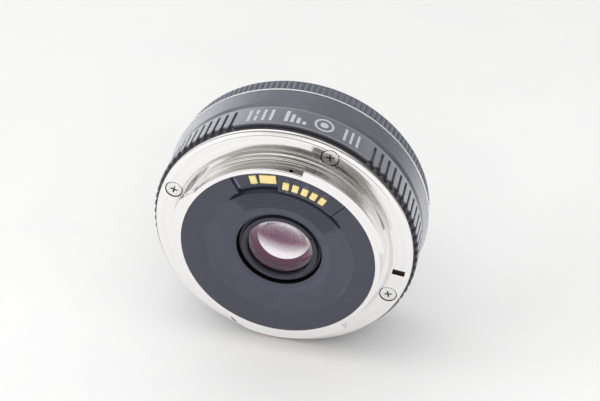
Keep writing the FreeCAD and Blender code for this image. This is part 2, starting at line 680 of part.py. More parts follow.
# ---- lens unit ------------------------------------------------------------------------
def front_barrel():
    """The moving barrel: guided tube, front floor and the filter thread's wall."""
    inner, outer = SHELL_R
    y0, y1 = FLOOR_Y
    thread_y = FRONT_END - FILTER_DEPTH
    shell = turned([
        (inner, 6.2), (outer, 6.2), (outer, y0), (27.6, y0), (27.6, FRONT_END - 0.3), (27.3, FRONT_END),
        (FILTER_R + 0.2, FRONT_END), (FILTER_R, FRONT_END - 0.2), (FILTER_R, thread_y),
        (26.1, thread_y - 0.4), (26.1, y1), (10.9, y1), (10.9, y0), (inner, y0),
    ])
    tab = sector(23.7, 24.1, 4.3, 6.6, HOME_ANGLE - 2.8, HOME_ANGLE + 2.8)
    cuts = [spoke(0.5, inner - 1, outer + 1, ROLLER_Y, angle) for angle in ROLLER_ANGLES]
    cuts += [rod(0.65, y0 - 1, y1 + 1, CELL_SCREW_R, angle) for angle in CELL_SCREW_ANGLES]
    return shell.fuse(tab).removeSplitter().cut(cuts)


def name_ring():
    """Black front plate, gently coned, with steps round the front element."""
    return turned([
        (10.75, 20.6), (12.2, 20.6), (12.5, 20.3), (25.0, 19.9), (25.4, 19.6), (25.4, 18.85), (24.4, 18.85),
        (24.4, 19.1), (13.0, 19.55), (10.75, 19.6),
    ])


def cam_rollers():
    rollers = [
        spoke(ROLLER_R, SHELL_R[1] + 0.06, CAM_R[1] - 0.1, ROLLER_Y, angle).cut(
            spoke(0.5 + GAP, 20, 30, ROLLER_Y, angle))
        for angle in ROLLER_ANGLES
    ]
    return Part.makeCompound(rollers)


def roller_screws():
    screws = []
    for angle in ROLLER_ANGLES:
        shank = spoke(0.5 - 0.01, SHELL_R[0] + 0.1, CAM_R[1] - 0.05, ROLLER_Y, angle)
        head = spoke(0.85, CAM_R[1] - 0.05, CAM_R[1] + 0.3, ROLLER_Y, angle)
        screws.append(shank.fuse(head))
    return Part.makeCompound(screws)


def cell_screws():
    screws = [pan_screw(CELL_SCREW_R, angle, FLOOR_Y[1] + 0.02, 1.1, 0.45, 0.55, 2.2, rear=False)
              for angle in CELL_SCREW_ANGLES]
    return Part.makeCompound(screws)


def glass(front_y, front_r, rear_y, rear_r, edge_r, front_clear=None, rear_clear=None):
    """A lens element.  A positive radius bulges to the front; past its clear radius a
    hollow face ends in a flat land."""
    front_clear = front_clear or edge_r
    rear_clear = rear_clear or edge_r

    def face_y(vertex, radius, height):
        sag = abs(radius) - math.sqrt(radius * radius - height * height)
        return vertex - math.copysign(sag, radius)

    def curve(vertex, radius, clear):
        middle = clear / 2
        ends = [V(h, face_y(vertex, radius, h), 0) for h in (0, middle, clear)]
        return Part.Arc(*ends).toShape(), ends[0], ends[2]

    front, front_top, front_edge = curve(front_y, front_r, front_clear)
    rear, rear_top, rear_edge = curve(rear_y, rear_r, rear_clear)
    outline = [front_edge, V(edge_r, front_edge.y, 0), V(edge_r, rear_edge.y, 0), rear_edge]
    sides = [
        Part.makeLine(a, b) for a, b in zip(outline, outline[1:]) if a.distanceToPoint(b) > 1e-6
    ]
    wire = Part.Wire(Part.__sortEdges__([front, rear, Part.makeLine(front_top, rear_top)] + sides))
    return Part.Face(wire).revolve(V(0, 0, 0), AXIS, FULL)


def front_cell():
    cell = turned([
        (8.45, 10.5), (9.8, 10.5), (9.8, 11.3), (14.3, 11.3), (14.3, 12.0), (10.6, 12.6), (10.6, 16.5),
        (15.6, 16.5), (15.6, 17.55), (10.6, 17.55), (10.6, 20.6), (9.98, 20.6), (9.98, 19.9), (9.55, 19.9),
        (9.55, 17.0), (8.95, 17.0), (8.95, 15.0), (8.45, 15.0),
    ])
    return cell.cut([rod(0.6, 16, 18, CELL_SCREW_R, angle) for angle in CELL_SCREW_ANGLES])


def front_retaining_ring():
    return turned([(8.75, 20.0), (9.93, 20.0), (9.93, 20.55), (9.0, 20.55)])


def doublet_retaining_ring():
    return turned([(7.8, 15.15), (8.9, 15.05), (8.9, 15.8), (8.1, 15.8)])


def rear_cell():
    return turned([
        (8.05, 8.8), (9.4, 8.8), (9.4, 6.85), (14.0, 6.85), (14.0, 6.1), (10.3, 6.1), (10.3, -2.9),
        (9.62, -2.9), (9.62, -1.65), (9.05, -1.65), (9.05, 0.02), (7.7, 0.02), (7.7, 3.5), (8.05, 3.84),
    ])


def rear_retaining_ring():
    """Matt ring with a bevelled bore, behind the rear element."""
    return turned([(8.0, -2.15), (9.0, -1.75), (9.57, -1.7), (9.57, -2.8), (8.5, -2.8), (8.1, -2.45)])


# ---- aperture -------------------------------------------------------------------------
def iris_outline(disc_r, lobe_r, y0, y1):
    return disc(disc_r, y0, y1).fuse(rod(lobe_r, y0, y1, IRIS_PINION_R, IRIS_PINION_ANGLE)).removeSplitter()


def blade_angles():
    return [index * FULL / BLADES for index in range(BLADES)]


def aperture_housing():
    case = iris_outline(17.0, 2.95, 7.75, 11.25)
    cuts = [iris_outline(16.1, 2.4, 7, 10.45), disc(9.85, 7, 12)]
    cuts += [rod(IRIS_PIN_R + GAP, 10, 11.1, BLADE_PIVOT_R, angle) for angle in blade_angles()]
    cuts.append(rod(0.45, 10, 12, IRIS_PINION_R, IRIS_PINION_ANGLE))
    return case.cut(cuts)


def aperture_cover():
    plate = iris_outline(17.0, 2.95, 6.9, 7.7)
    bearing = disc(IRIS_BEARING_R, 7.7, 8.95)
    return plate.fuse(bearing).removeSplitter().cut(disc(9.5, 6, 10)).cut(tube(9.5, 11.7, 7.7, 10))


def aperture_motor():
    can = rod(2.2, 11.35, 15.9, IRIS_PINION_R, IRIS_PINION_ANGLE)
    return can.cut(rod(0.45, 11, 12.4, IRIS_PINION_R, IRIS_PINION_ANGLE))


def aperture_pinion():
    """The pinion and its shaft; a tooth points at the aperture ring's gap."""
    gear = pinion(IRIS_PINION_TEETH, IRIS_MODULE, IRIS_PINION_ANGLE + 180, *IRIS_Y, 0)
    shaft = disc(0.4, IRIS_Y[1], 12.2)
    return moved(gear.fuse(shaft), IRIS_PINION_R, IRIS_PINION_ANGLE)


def drive_pin_place(share):
    """Where a blade's drive pin is, as (radius, angle) in the aperture ring's frame,
    at a share of the full stop-down travel."""
    turn = math.radians(BLADE_TURN * share)
    radial, tangential = DRIVE_PIN
    x = BLADE_PIVOT_R + radial * math.cos(turn) - tangential * math.sin(turn)
    z = radial * math.sin(turn) + tangential * math.cos(turn)
    return math.hypot(x, z), math.degrees(math.atan2(z, x)) - IRIS_TURN * share


def iris_slot(angle):
    """Cam slot swept by a drive pin, with a round end at each limit."""
    steps = 12
    half = IRIS_PIN_R + 0.07
    places = [drive_pin_place(step / steps) for step in range(steps + 1)]
    outer = [polar(r + half, a + angle) for r, a in places]
    inner = [polar(r - half, a + angle) for r, a in reversed(places)]
    slot = prism([(p.x, p.z) for p in outer + inner], IRIS_Y[0] - 1, IRIS_Y[1] + 1)
    ends = [rod(half, IRIS_Y[0] - 1, IRIS_Y[1] + 1, r, a + angle) for r, a in (places[0], places[-1])]
    return joined([slot] + ends)


def aperture_ring():
    y0, y1 = IRIS_Y
    pitch = FULL / IRIS_TEETH
    phase = IRIS_PINION_ANGLE + pitch / 2
    gear = prism(tooth_points(IRIS_TEETH, IRIS_MODULE, phase), y0, y1)
    plain = tube(14.9, 16, y0 - 1, y1 + 1)
    toothed = sector(14.9, 16.2, y0 - 1, y1 + 1, IRIS_PINION_ANGLE - IRIS_TURN - 14, IRIS_PINION_ANGLE + 14)
    ring = gear.cut([plain.cut(toothed), disc(IRIS_BEARING_R + RUN, y0 - 1, y1 + 1)])
    return ring.cut([iris_slot(angle) for angle in blade_angles()])


def blade(index):
    """One crescent blade, its pivot pin to the front and its drive pin to the rear."""
    y0 = BLADE_Y + index * BLADE_STEP
    y1 = y0 + BLADE_THICK
    radial, tangential = DRIVE_PIN
    pin_r = math.hypot(BLADE_PIVOT_R + radial, tangential)
    pin_angle = math.degrees(math.atan2(tangential, BLADE_PIVOT_R + radial))
    crescent = sector(*BLADE_R, y0, y1, *BLADE_SPAN)
    pivot_ear = rod(1.1, y0, y1, BLADE_PIVOT_R, 0)
    drive_ear = rod(0.7, y0, y1, pin_r, pin_angle)
    web = Part.makeBox(math.hypot(radial, tangential), BLADE_THICK, 1.4, V(0, y0, -0.7))
    web.rotate(V(0, 0, 0), AXIS, -math.degrees(math.atan2(tangential, radial)))
    web.translate(V(BLADE_PIVOT_R, 0, 0))
    pivot = rod(IRIS_PIN_R, y0, 11.0, BLADE_PIVOT_R, 0)
    drive = rod(IRIS_PIN_R, IRIS_Y[0] + 0.1, y1, pin_r, pin_angle)
    return spin(joined([crescent, pivot_ear, drive_ear, web, pivot, drive]), index * FULL / BLADES)


# ---- everything -----------------------------------------------------------------------
PIECES = (
    mount_ring, mount_screws, rear_baffle, contact_block, contact_pins, contact_block_screw, outer_barrel,
    trim_ring, mount_index_dot, switch_plate, switch_knob, switch_body, guide_sleeve, guide_sleeve_screws,
    front_bezel, felt_seal, ring_sensor, focus_ring, focus_comb, cam_ring, idler_gear, idler_pin,
    motor_pinion, focus_motor, motor_bracket, chassis_plate, main_board, small_screws, board_components,
    motor_flex, contact_flex, home_sensor, front_barrel, name_ring, cam_rollers, roller_screws,
    cell_screws, front_cell, front_retaining_ring, doublet_retaining_ring, rear_cell, rear_retaining_ring,
    aperture_housing, aperture_cover, aperture_motor, aperture_pinion, aperture_ring,
)


def build():
    os.makedirs("parts", exist_ok=True)
    for piece in PIECES:
        save(piece.__name__, piece())
    for name, sizes in ELEMENTS.items():
        save(name, glass(**sizes))
    for index in range(BLADES):
        save(f"aperture_blade_{index + 1}", blade(index))


build()
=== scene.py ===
import math

import bmesh
import bpy
from mathutils import Matrix, Vector


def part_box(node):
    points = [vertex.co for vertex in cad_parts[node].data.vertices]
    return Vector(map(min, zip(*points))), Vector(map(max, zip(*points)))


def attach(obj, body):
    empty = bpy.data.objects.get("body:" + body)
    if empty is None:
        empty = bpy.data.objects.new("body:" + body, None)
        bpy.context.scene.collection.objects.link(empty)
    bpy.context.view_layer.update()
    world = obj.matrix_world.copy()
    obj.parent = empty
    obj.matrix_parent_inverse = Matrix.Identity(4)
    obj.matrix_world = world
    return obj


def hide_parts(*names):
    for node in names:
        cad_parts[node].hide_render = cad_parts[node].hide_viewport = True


# Looks for the slim prime lens.  Shapes are worked out in millimetres from the boxes of the
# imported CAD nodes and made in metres.  +Y is the optical axis, towards the subject; the
# bayonet faces -Y.  Angles are in degrees about that axis, from +X towards +Z.

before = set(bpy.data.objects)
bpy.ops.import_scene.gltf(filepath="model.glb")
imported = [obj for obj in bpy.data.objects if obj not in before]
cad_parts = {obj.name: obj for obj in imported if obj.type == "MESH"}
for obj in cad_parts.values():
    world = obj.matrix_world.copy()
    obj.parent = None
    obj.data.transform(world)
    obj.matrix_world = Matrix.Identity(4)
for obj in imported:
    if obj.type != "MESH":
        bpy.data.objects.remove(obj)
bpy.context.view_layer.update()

MM = 0.001
FULL = 360.0
SEGMENTS = 360
FILLET_STEPS = 4
SHARP_ANGLE = 32.0


# ---- sizes taken from the frame --------------------------------------------------------
def reach(node):
    """Outer radius of a node that is round about the optical axis."""
    low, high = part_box(node)
    return max(-low.x, high.x, -low.z, high.z) / MM


def rear(node):
    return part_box(node)[0].y / MM


def front(node):
    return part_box(node)[1].y / MM


# ---- sizes in millimetres, angles in degrees -------------------------------------------
# Bayonet
FLANGE_R = reach("mount_ring")
SPIGOT_END = rear("mount_ring")
FLANGE_BACK = front("mount_ring")
BORE_R = reach("rear_baffle") + 0.05
SPIGOT_R = BORE_R + 1.2
LUG_R = SPIGOT_R + 1.6
LUG_FRONT = SPIGOT_END + 2.1
LUGS = ((20.5, 84.0), (159.0, 215.0), (259.0, 319.0))
LEAD_IN = 9.0
SCREW_R = 29.3
SCREW_ANGLES = (75, 165, 255, 345)
SCREW_HEAD_R = 2.0
SCREW_TOP = rear("mount_screws")
CROSS_TURNS = (22, 8, 47, 31)
CROSS_ARM = (1.9, 0.40, 1.1)
SLOT_R = (27.9, 31.0)
SLOT_WIDTH = 1.6
PIN_HOLE_ANGLE = 90.5
PIN_HOLE_Y = SPIGOT_END + 0.9
PIN_HOLE_R = 0.5
ENGRAVED_LINE = (1.6, 0.22, 0.3)
ENGRAVED_ANGLE = -52

# Rear cover and contacts
COVER_R = reach("rear_baffle")
OPENING_R = 10.7
GROOVE_R = (13.5, 18.0)
GROOVE_PITCH = 0.5
GROOVE_ROW = 0.0833
GROOVE_DEPTH = 0.2
GROOVE_MIDDLE = 88.5
GROOVE_HALF = 50.0
POCKET_R = 18.45
POCKET_MIDDLE = 89.5
POCKET_HALF = 46.5
POCKET_WIDTH = 1.15
POCKET_DEPTH = 1.5
CONTACT_SPAN = (55.5, 125.5)
CONTACT_STEP = 97.0
BLOCK_R = 19.2
BLOCK_FLOOR = -1.6
SHELF_R = 20.2
SHELF_DROP = 0.8
SIGNAL_ANGLES = (67.2, 73.4, 79.6, 85.8, 92.0)
SIGNAL_PAD = (2.2, 1.6, 3.1)
SIGNAL_PAD_R = 21.2
POWER_PADS = ((103.8, 4.1), (113.2, 1.8))
POWER_PAD_LENGTH = 2.4
POWER_PAD_R = 21.9

# Barrel and what it carries
TRIM_R = reach("trim_ring")
TRIM_BORE_R = 32.95
RIB_R = TRIM_R - 0.8
RIB_COUNT = 88
RIB_PITCH = FULL / RIB_COUNT
RIB_TOP_Y = 8.2
RIB_GROOVE_DEPTH = 0.46
UNDERCUT_Y = 2.05
UNDERCUT_R = FLANGE_R + 0.1
STEP_Y = 8.9
STEP_DEPTH = 0.38
DIP_Y = (9.6, 9.7)
BAND_Y = 11.2
BAND_TOP_Y = 15.7
BAND_RISE = 0.04
BAND_FLARE = 0.61
LABEL_ANGLE = 90.0
LABEL_HALF = 28.5
MARK_Y = (3.2, 7.8)
SWITCH_ANGLE = -32.0
SWITCH_HALF = 13.5
SWITCH_Y = 6.2
SWITCH_FLAT_R = 32.2
INDEX_ANGLE = 270
INDEX_Y = 1.9

# Focus ring and front
RING_R = reach("focus_ring")
RING_Y = (rear("focus_ring"), front("focus_ring"))
RING_BORE_R = 31.88
KNURL_COUNT = 144
KNURL_DEPTH = 0.55
THREAD_R = (25.6, 25.95)
THREAD_Y = (20.95, 22.5)
THREAD_PITCH = 0.7
RETAINER_NOTCH = (1.2, 0.9, 0.5)
GLOW_R = 6.0
GLOW_FACE_Y = 4.2

# The photograph's set, seen through a 72 mm lens; the camera's and the floor's places are
# in the object's own millimetres
CAMERA_PLACE = (27.29, -222.16, 191.03)
CAMERA_RIGHT = (0.9643, 0.2222, 0.1441)
CAMERA_FORWARD = (-0.0868, 0.7793, -0.6206)
FLOOR_PLACE = (5.05, 16.0, -33.7)
FLOOR_NORMAL = (-0.1477, 0.0559, 0.9873)
WHITE = (0.90, 0.90, 0.90, 1)
ROOM = (0.16, 0.14, 0.12, 1)
HAZE = (0.42, 0.40, 0.36, 1)
HORIZON = (
    (-180, WHITE), (-75, WHITE), (-45, HAZE), (-30, HAZE), (-26, ROOM), (-25, WHITE), (-23, WHITE),
    (-22, ROOM), (20, ROOM), (22, WHITE), (26, WHITE), (28, ROOM), (32, ROOM), (33, WHITE), (34, ROOM),
    (46, ROOM), (56, HAZE), (60, WHITE), (64, WHITE), (68, ROOM), (100, ROOM), (118, HAZE),
    (135, WHITE), (180, WHITE),
)
WORLD_STRENGTH = 0.85
LIGHT_BOUNCES = 26


# ---- mesh helpers ----------------------------------------------------------------------
def polar(radius, angle, y=0.0):
    turn = math.radians(angle)
    return Vector((radius * math.cos(turn), y, radius * math.sin(turn))) * MM


def smoothstep(low, high, value):
    share = min(max((value - low) / (high - low), 0.0), 1.0)
    return share * share * (3.0 - 2.0 * share)


def angle_between(a, b):
    return abs((a - b + 180.0) % FULL - 180.0)


def spaced(start, step, count):
    return [start + step * index for index in range(count)]


def rounded(corners):
    """Round each (radius, y, fillet) corner of a closed outline.  The extra points beside
    each round keep the shading of the flats flat."""
    points = []
    for index, (radius, y, fillet) in enumerate(corners):
        corner = Vector((radius, y))
        if not fillet:
            points.append(corner)
            continue
        before = Vector(corners[index - 1][:2]) - corner
        after = Vector(corners[(index + 1) % len(corners)][:2]) - corner
        run = min(fillet, 0.35 * before.length, 0.35 * after.length)
        start = corner + before.normalized() * run
        end = corner + after.normalized() * run
        points.append(corner + before.normalized() * run * 1.35)
        for step in range(FILLET_STEPS + 1):
            share = step / FILLET_STEPS
            points.append(start.lerp(corner, share).lerp(corner.lerp(end, share), share))
        points.append(corner + after.normalized() * run * 1.35)
    return [(point.x, point.y) for point in points]


def finished(name, mesh):
    """Turn a bmesh into an object with smooth faces and crisp edges."""
    bmesh.ops.recalc_face_normals(mesh, faces=mesh.faces)
    data = bpy.data.meshes.new(name)
    mesh.to_mesh(data)
    mesh.free()
    piece = bpy.data.objects.new(name, data)
    bpy.context.scene.collection.objects.link(piece)
    return crisp(piece)


def crisp(piece):
    piece.data.shade_smooth()
    piece.data.set_sharp_from_angle(angle=math.radians(SHARP_ANGLE))
    return piece


def add_skin(mesh, rings, around=True):
    """Join successive closed rings of points; an open run of rings gets flat ends."""
    loops = [[mesh.verts.new(point) for point in ring] for ring in rings]
    pairs = list(zip(loops, loops[1:]))
    if around:
        pairs.append((loops[-1], loops[0]))
    else:
        mesh.faces.new(loops[0])
        mesh.faces.new(loops[-1])
    for one, two in pairs:
        for index in range(len(one)):
            mesh.faces.new((one[index - 1], one[index], two[index], two[index - 1]))


def turned(name, outline, angles=None):
    """Turn an outline of (radius, y) points about the optical axis.  The outline may be a
    function of the angle, as long as it always gives the same number of points."""
    angles = angles or [index * FULL / SEGMENTS for index in range(SEGMENTS)]
    rings = []
    for angle in angles:
        points = outline(angle) if callable(outline) else outline
        rings.append([polar(radius, angle, y) for radius, y in points])
    mesh = bmesh.new()
    add_skin(mesh, rings)
    return finished(name, mesh)


def arc_block(name, corners, start, end, bevel=0.0, steps=48):
    """An outline turned through part of a circle, with softened edges."""
    mesh = bmesh.new()
    angles = [start + (end - start) * step / steps for step in range(steps + 1)]
    add_skin(mesh, [[polar(radius, angle, y) for radius, y in corners] for angle in angles], around=False)
    return softened(finished(name, mesh), bevel)


def box_at(mesh, size, place, angle):
    """Add a box whose sides are (radial, tangential, axial), at (radius, shift, y)."""
    radial, tangential, axial = (value / 2 for value in size)
    radius, shift, y = place
    turn = Matrix.Rotation(math.radians(-angle), 4, "Y")
    section = ((-radial, -tangential), (radial, -tangential), (radial, tangential), (-radial, tangential))
    rings = []
    for down in (-axial, axial):
        rings.append([turn @ Vector((radius + out, y + down, shift + side)) * MM for out, side in section])
    add_skin(mesh, rings, around=False)


def rod_at(mesh, radii, heights, place_r, angle, sides=40):
    """Add a round rod or cone parallel to the optical axis: a radius for each height."""
    centre = polar(place_r, angle)
    rings = []
    for radius, y in zip(radii, heights):
        rings.append([centre + polar(radius, side * FULL / sides, y) for side in range(sides)])
    add_skin(mesh, rings, around=False)


def spoke_at(mesh, radii, reaches, y, angle, sides=32):
    """Add a round rod that points away from the optical axis: a radius for each reach."""
    across = polar(1, angle + 90)
    along = Vector((0, MM, 0))
    turns = [side * math.tau / sides for side in range(sides)]
    rings = []
    for radius, out in zip(radii, reaches):
        centre = polar(out, angle, y)
        rings.append([centre + (across * math.cos(turn) + along * math.sin(turn)) * radius for turn in turns])
    add_skin(mesh, rings, around=False)


def with_modifier(piece, kind, **settings):
    """Run a modifier on a piece and keep its result as the mesh."""
    modifier = piece.modifiers.new(kind.lower(), kind)
    for key, value in settings.items():
        setattr(modifier, key, value)
    graph = bpy.context.evaluated_depsgraph_get()
    graph.update()
    data = bpy.data.meshes.new_from_object(piece.evaluated_get(graph))
    piece.modifiers.clear()
    old = piece.data
    piece.data = data
    bpy.data.meshes.remove(old)
    return crisp(piece)


def carved(piece, add_cutters, crossing=False):
    """Cut what add_cutters puts in a bmesh out of a piece; crossing cutters overlap."""
    mesh = bmesh.new()
    add_cutters(mesh)
    cutter = finished(piece.name + "_cutter", mesh)
    with_modifier(piece, "BOOLEAN", operation="DIFFERENCE", object=cutter, solver="EXACT",
                  use_self=crossing)
    data = cutter.data
    bpy.data.objects.remove(cutter)
    bpy.data.meshes.remove(data)
    return piece


def softened(piece, width, segments=3):
    if not width:
        return piece
    return with_modifier(piece, "BEVEL", width=width * MM, segments=segments, limit_method="ANGLE",
                         angle_limit=math.radians(40), harden_normals=False)


# ---- material helpers ------------------------------------------------------------------
class Nodes:
    """A node tree that is built up a sum at a time."""

    def __init__(self, tree):
        self.tree = tree

    def add(self, kind, **settings):
        node = self.tree.nodes.new(kind)
        for key, value in settings.items():
            setattr(node, key, value)
        return node

    def link(self, source, socket):
        self.tree.links.new(source, socket)

    def math(self, operation, first, second=0.0):
        node = self.add("ShaderNodeMath", operation=operation)
        for socket, value in zip(node.inputs, (first, second)):
            if isinstance(value, (int, float)):
                socket.default_value = value
            else:
                self.link(value, socket)
        return node.outputs[0]

    def times(self, first, second):
        return self.math("MULTIPLY", first, second)

    def length(self, across, along):
        return self.math("SQRT", self.math("ADD", self.times(across, across), self.times(along, along)))

    def ramp(self, source, low, high, low_value=0.0, high_value=1.0, shape="SMOOTHSTEP"):
        node = self.add("ShaderNodeMapRange", interpolation_type=shape)
        self.link(source, node.inputs["Value"])
        limits = {"From Min": low, "From Max": high, "To Min": low_value, "To Max": high_value}
        for socket, value in limits.items():
            node.inputs[socket].default_value = value
        return node.outputs["Result"]

    def step(self, source, low, high):
        """0 at low mm to 1 at high mm; it falls if low is the greater."""
        return self.ramp(source, low * MM, high * MM)

    def band(self, source, low, rise, fall, high):
        """1 from rise mm to fall mm, and 0 outside low mm to high mm."""
        return self.times(self.step(source, low, rise), self.step(source, high, fall))

    def blend(self, mask, first, second):
        """One colour where the mask is 0, another where it is 1; either may be a socket."""
        node = self.add("ShaderNodeMix", data_type="RGBA")
        self.link(mask, node.inputs["Factor"])
        for name, value in (("A", first), ("B", second)):
            if isinstance(value, tuple):
                node.inputs[name].default_value = value
            else:
                self.link(value, node.inputs[name])
        return node.outputs["Result"]


class Finish(Nodes):
    """A procedural material, built up on one Principled shader.  Texture places are the
    object's own coordinates in metres, which are the same for every piece at rest."""

    def __init__(self, name, color, roughness, metallic=0.0, **constants):
        self.name = name
        self.material = bpy.data.materials.new(name)
        self.material.use_nodes = True
        super().__init__(self.material.node_tree)
        self.shader = self.tree.nodes["Principled BSDF"]
        self.place = self.add("ShaderNodeTexCoord").outputs["Object"]
        self.relief = None
        constants.update(Base_Color=(*color, 1.0), Roughness=roughness, Metallic=metallic)
        for socket, value in constants.items():
            self.shader.inputs[socket.replace("_", " ")].default_value = value

    def noise(self, size, detail=3.0):
        """Cloudy noise whose blotches are about `size` mm across."""
        node = self.add("ShaderNodeTexNoise")
        self.link(self.place, node.inputs["Vector"])
        node.inputs["Scale"].default_value = 1.0 / (size * MM)
        node.inputs["Detail"].default_value = detail
        return node.outputs["Fac"]

    def axis_split(self):
        node = self.add("ShaderNodeSeparateXYZ")
        self.link(self.place, node.inputs[0])
        return node.outputs

    def radius(self):
        """Distance from the optical axis, in metres."""
        x, _, z = self.axis_split()
        return self.length(x, z)

    def bearing(self):
        """Angle about the optical axis, in radians."""
        x, _, z = self.axis_split()
        return self.math("ARCTAN2", z, x)

    def lathe_lines(self, pitch):
        """Uneven rings, as a cutting tool leaves them, about `pitch` mm apart."""
        node = self.add("ShaderNodeTexNoise", noise_dimensions="1D")
        self.link(self.radius(), node.inputs["W"])
        node.inputs["Scale"].default_value = 1.0 / (pitch * MM)
        node.inputs["Detail"].default_value = 2.0
        return node.outputs["Fac"]

    def tint(self, mask, color):
        """Blend the colour so far towards another where the mask is 1."""
        socket = self.shader.inputs["Base Color"]
        before = socket.links[0].from_socket if socket.is_linked else tuple(socket.default_value)
        self.link(self.blend(mask, before, (*color, 1.0)), socket)
        return self

    def gloss(self, mask, low, high):
        """Roughness runs from low to high as the mask goes from 0.3 to 0.7."""
        self.link(self.ramp(mask, 0.3, 0.7, low, high), self.shader.inputs["Roughness"])
        return self

    def emboss(self, height_source, height, strength=1.0):
        """Add relief, `height` mm deep."""
        node = self.add("ShaderNodeBump")
        node.inputs["Distance"].default_value = height * MM
        node.inputs["Strength"].default_value = strength
        self.link(height_source, node.inputs["Height"])
        if self.relief:
            self.link(self.relief, node.inputs["Normal"])
        self.relief = node.outputs["Normal"]
        self.link(self.relief, self.shader.inputs["Normal"])
        return self

    def painted_sheen(self, color, low=0.42, high=0.85):
        """Painted sheen: lighten the colour where the surface is seen at a low angle, for a grazing
        reflection.
        """
        facing = self.add("ShaderNodeLayerWeight").outputs["Facing"]
        return self.tint(self.ramp(facing, low, high), color)

    def rubbed_edges_and_highlight(self, color, low=0.53, high=0.60):
        """Lighten sharp edges towards a colour: rubbed edges, and on the contact block a painted highlight.
        """
        edge = self.add("ShaderNodeNewGeometry").outputs["Pointiness"]
        mask = self.times(self.ramp(edge, low, high), self.ramp(self.noise(1.5), 0.35, 0.65))
        return self.tint(mask, color)


def brightened(color, factor):
    return tuple(channel * factor for channel in color)


def plated_metal(name, color, rough=(0.13, 0.2), line_pitch=0.12, line_depth=0.0006, anisotropic=0.8):
    """Turned metal with a plated, satin skin."""
    finish = Finish(name, color, rough[1], metallic=1.0, Anisotropic=anisotropic)
    tangent = finish.add("ShaderNodeTangent", direction_type="RADIAL", axis="Y")
    finish.link(tangent.outputs[0], finish.shader.inputs["Tangent"])
    finish.gloss(finish.lathe_lines(0.6), *rough)
    finish.tint(finish.ramp(finish.lathe_lines(1.1), 0.4, 0.75), brightened(color, 0.96))
    finish.emboss(finish.lathe_lines(line_pitch), line_depth)
    return finish


def moulded_plastic(name, color, rough=(0.36, 0.5), grain=0.16, depth=0.006, edge_tone=1.8):
    """Polycarbonate with a fine sparked grain."""
    finish = Finish(name, color, rough[1])
    finish.gloss(finish.noise(2.0), *rough)
    finish.tint(finish.ramp(finish.noise(4.0), 0.35, 0.7), brightened(color, 1.18))
    finish.tint(finish.ramp(finish.noise(0.3, 1.0), 0.55, 0.75), brightened(color, 0.8))
    finish.emboss(finish.noise(grain, 2.0), depth)
    finish.rubbed_edges_and_highlight(brightened(color, edge_tone))
    return finish


def machined_alloy(name, color, rough=(0.3, 0.45)):
    finish = Finish(name, color, rough[1], metallic=1.0)
    finish.gloss(finish.noise(1.2), *rough)
    finish.tint(finish.ramp(finish.noise(5.0), 0.35, 0.75), brightened(color, 0.85))
    finish.emboss(finish.lathe_lines(0.07), 0.0015)
    finish.emboss(finish.noise(0.12), 0.0015)
    return finish


def anodised(name, color, rough=(0.4, 0.55), line_pitch=0.12):
    """Black anodised or matt painted metal with fine turning lines."""
    finish = Finish(name, color, rough[1])
    finish.gloss(finish.noise(1.5), *rough)
    finish.tint(finish.ramp(finish.noise(3.0), 0.35, 0.7), brightened(color, 1.3))
    finish.emboss(finish.lathe_lines(line_pitch), 0.003)
    finish.emboss(finish.noise(0.1), 0.002)
    finish.rubbed_edges_and_highlight(brightened(color, 2.0))
    return finish


def screw_rings(finish):
    """A dark line round each flange screw's head, on its countersink's wall."""
    quarter = math.radians(FULL / len(SCREW_ANGLES))
    turn = finish.add("ShaderNodeMath", operation="WRAP")
    finish.link(finish.math("SUBTRACT", finish.bearing(), math.radians(SCREW_ANGLES[0])), turn.inputs[0])
    turn.inputs[1].default_value = quarter / 2
    turn.inputs[2].default_value = -quarter / 2
    across = finish.times(finish.math("SINE", turn.outputs[0]), finish.radius())
    along = finish.times(finish.math("COSINE", turn.outputs[0]), finish.radius())
    away = finish.length(across, finish.math("SUBTRACT", along, SCREW_R * MM))
    ring = finish.step(away, SCREW_HEAD_R + 0.26, SCREW_HEAD_R + 0.2)
    return finish.times(ring, finish.step(finish.axis_split()[1], -0.6, -0.3))


def lock_slot(finish):
    x, y, z = finish.axis_split()
    middle = sum(SLOT_R) / 2
    half = SLOT_R[1] - middle
    along = finish.math("ABSOLUTE", finish.math("SUBTRACT", x, middle * MM))
    across = finish.math("ABSOLUTE", z)
    inside = finish.times(finish.step(along, half + 0.05, half),
                          finish.step(across, SLOT_WIDTH / 2 + 0.05, SLOT_WIDTH / 2 + 0.01))
    return finish.times(inside, finish.step(y, 0.05, 0.25))


def pin_hole(finish):
    x, y, z = finish.axis_split()
    from_middle = finish.math("SUBTRACT", x, polar(BORE_R, PIN_HOLE_ANGLE).x)
    away = finish.length(from_middle, finish.math("SUBTRACT", y, PIN_HOLE_Y * MM))
    return finish.times(finish.step(away, PIN_HOLE_R + 0.06, PIN_HOLE_R), finish.step(z, 0.0, 1.0))


def bayonet_chrome():
    """Satin chrome, with a dark line round each screw, and painted shade in the slot and the pin hole."""
    finish = plated_metal("bayonet_chrome", (0.92, 0.91, 0.90), line_pitch=0.3, line_depth=0.00025)
    finish.tint(screw_rings(finish), (0.16, 0.15, 0.15))
    # painted shade, brownish, inside the lock slot
    finish.tint(lock_slot(finish), (0.30, 0.22, 0.18))
    # painted shade, near black, inside the pin hole
    finish.tint(pin_hole(finish), (0.02, 0.02, 0.02))
    return finish


def screw_steel():
    """Plated steel; painted shade darkens the inside of the flange screws' crosses."""
    finish = plated_metal("screw_steel", (0.86, 0.86, 0.86), (0.2, 0.34), 0.05, 0.0008, 0.0)
    height = finish.axis_split()[1]
    # painted shade inside the crosses, by height below the heads' tops
    finish.tint(finish.band(height, SCREW_TOP + 0.09, SCREW_TOP + 0.16, 1.2, 1.4), (0.22, 0.22, 0.22))
    return finish


def sector(finish, middle, half, blur):
    """1 within an angle of a middle bearing, falling to 0 over the blur."""
    away = finish.math("ABSOLUTE", finish.math("SUBTRACT", finish.bearing(), math.radians(middle)))
    return finish.ramp(away, math.radians(half), math.radians(half - blur))


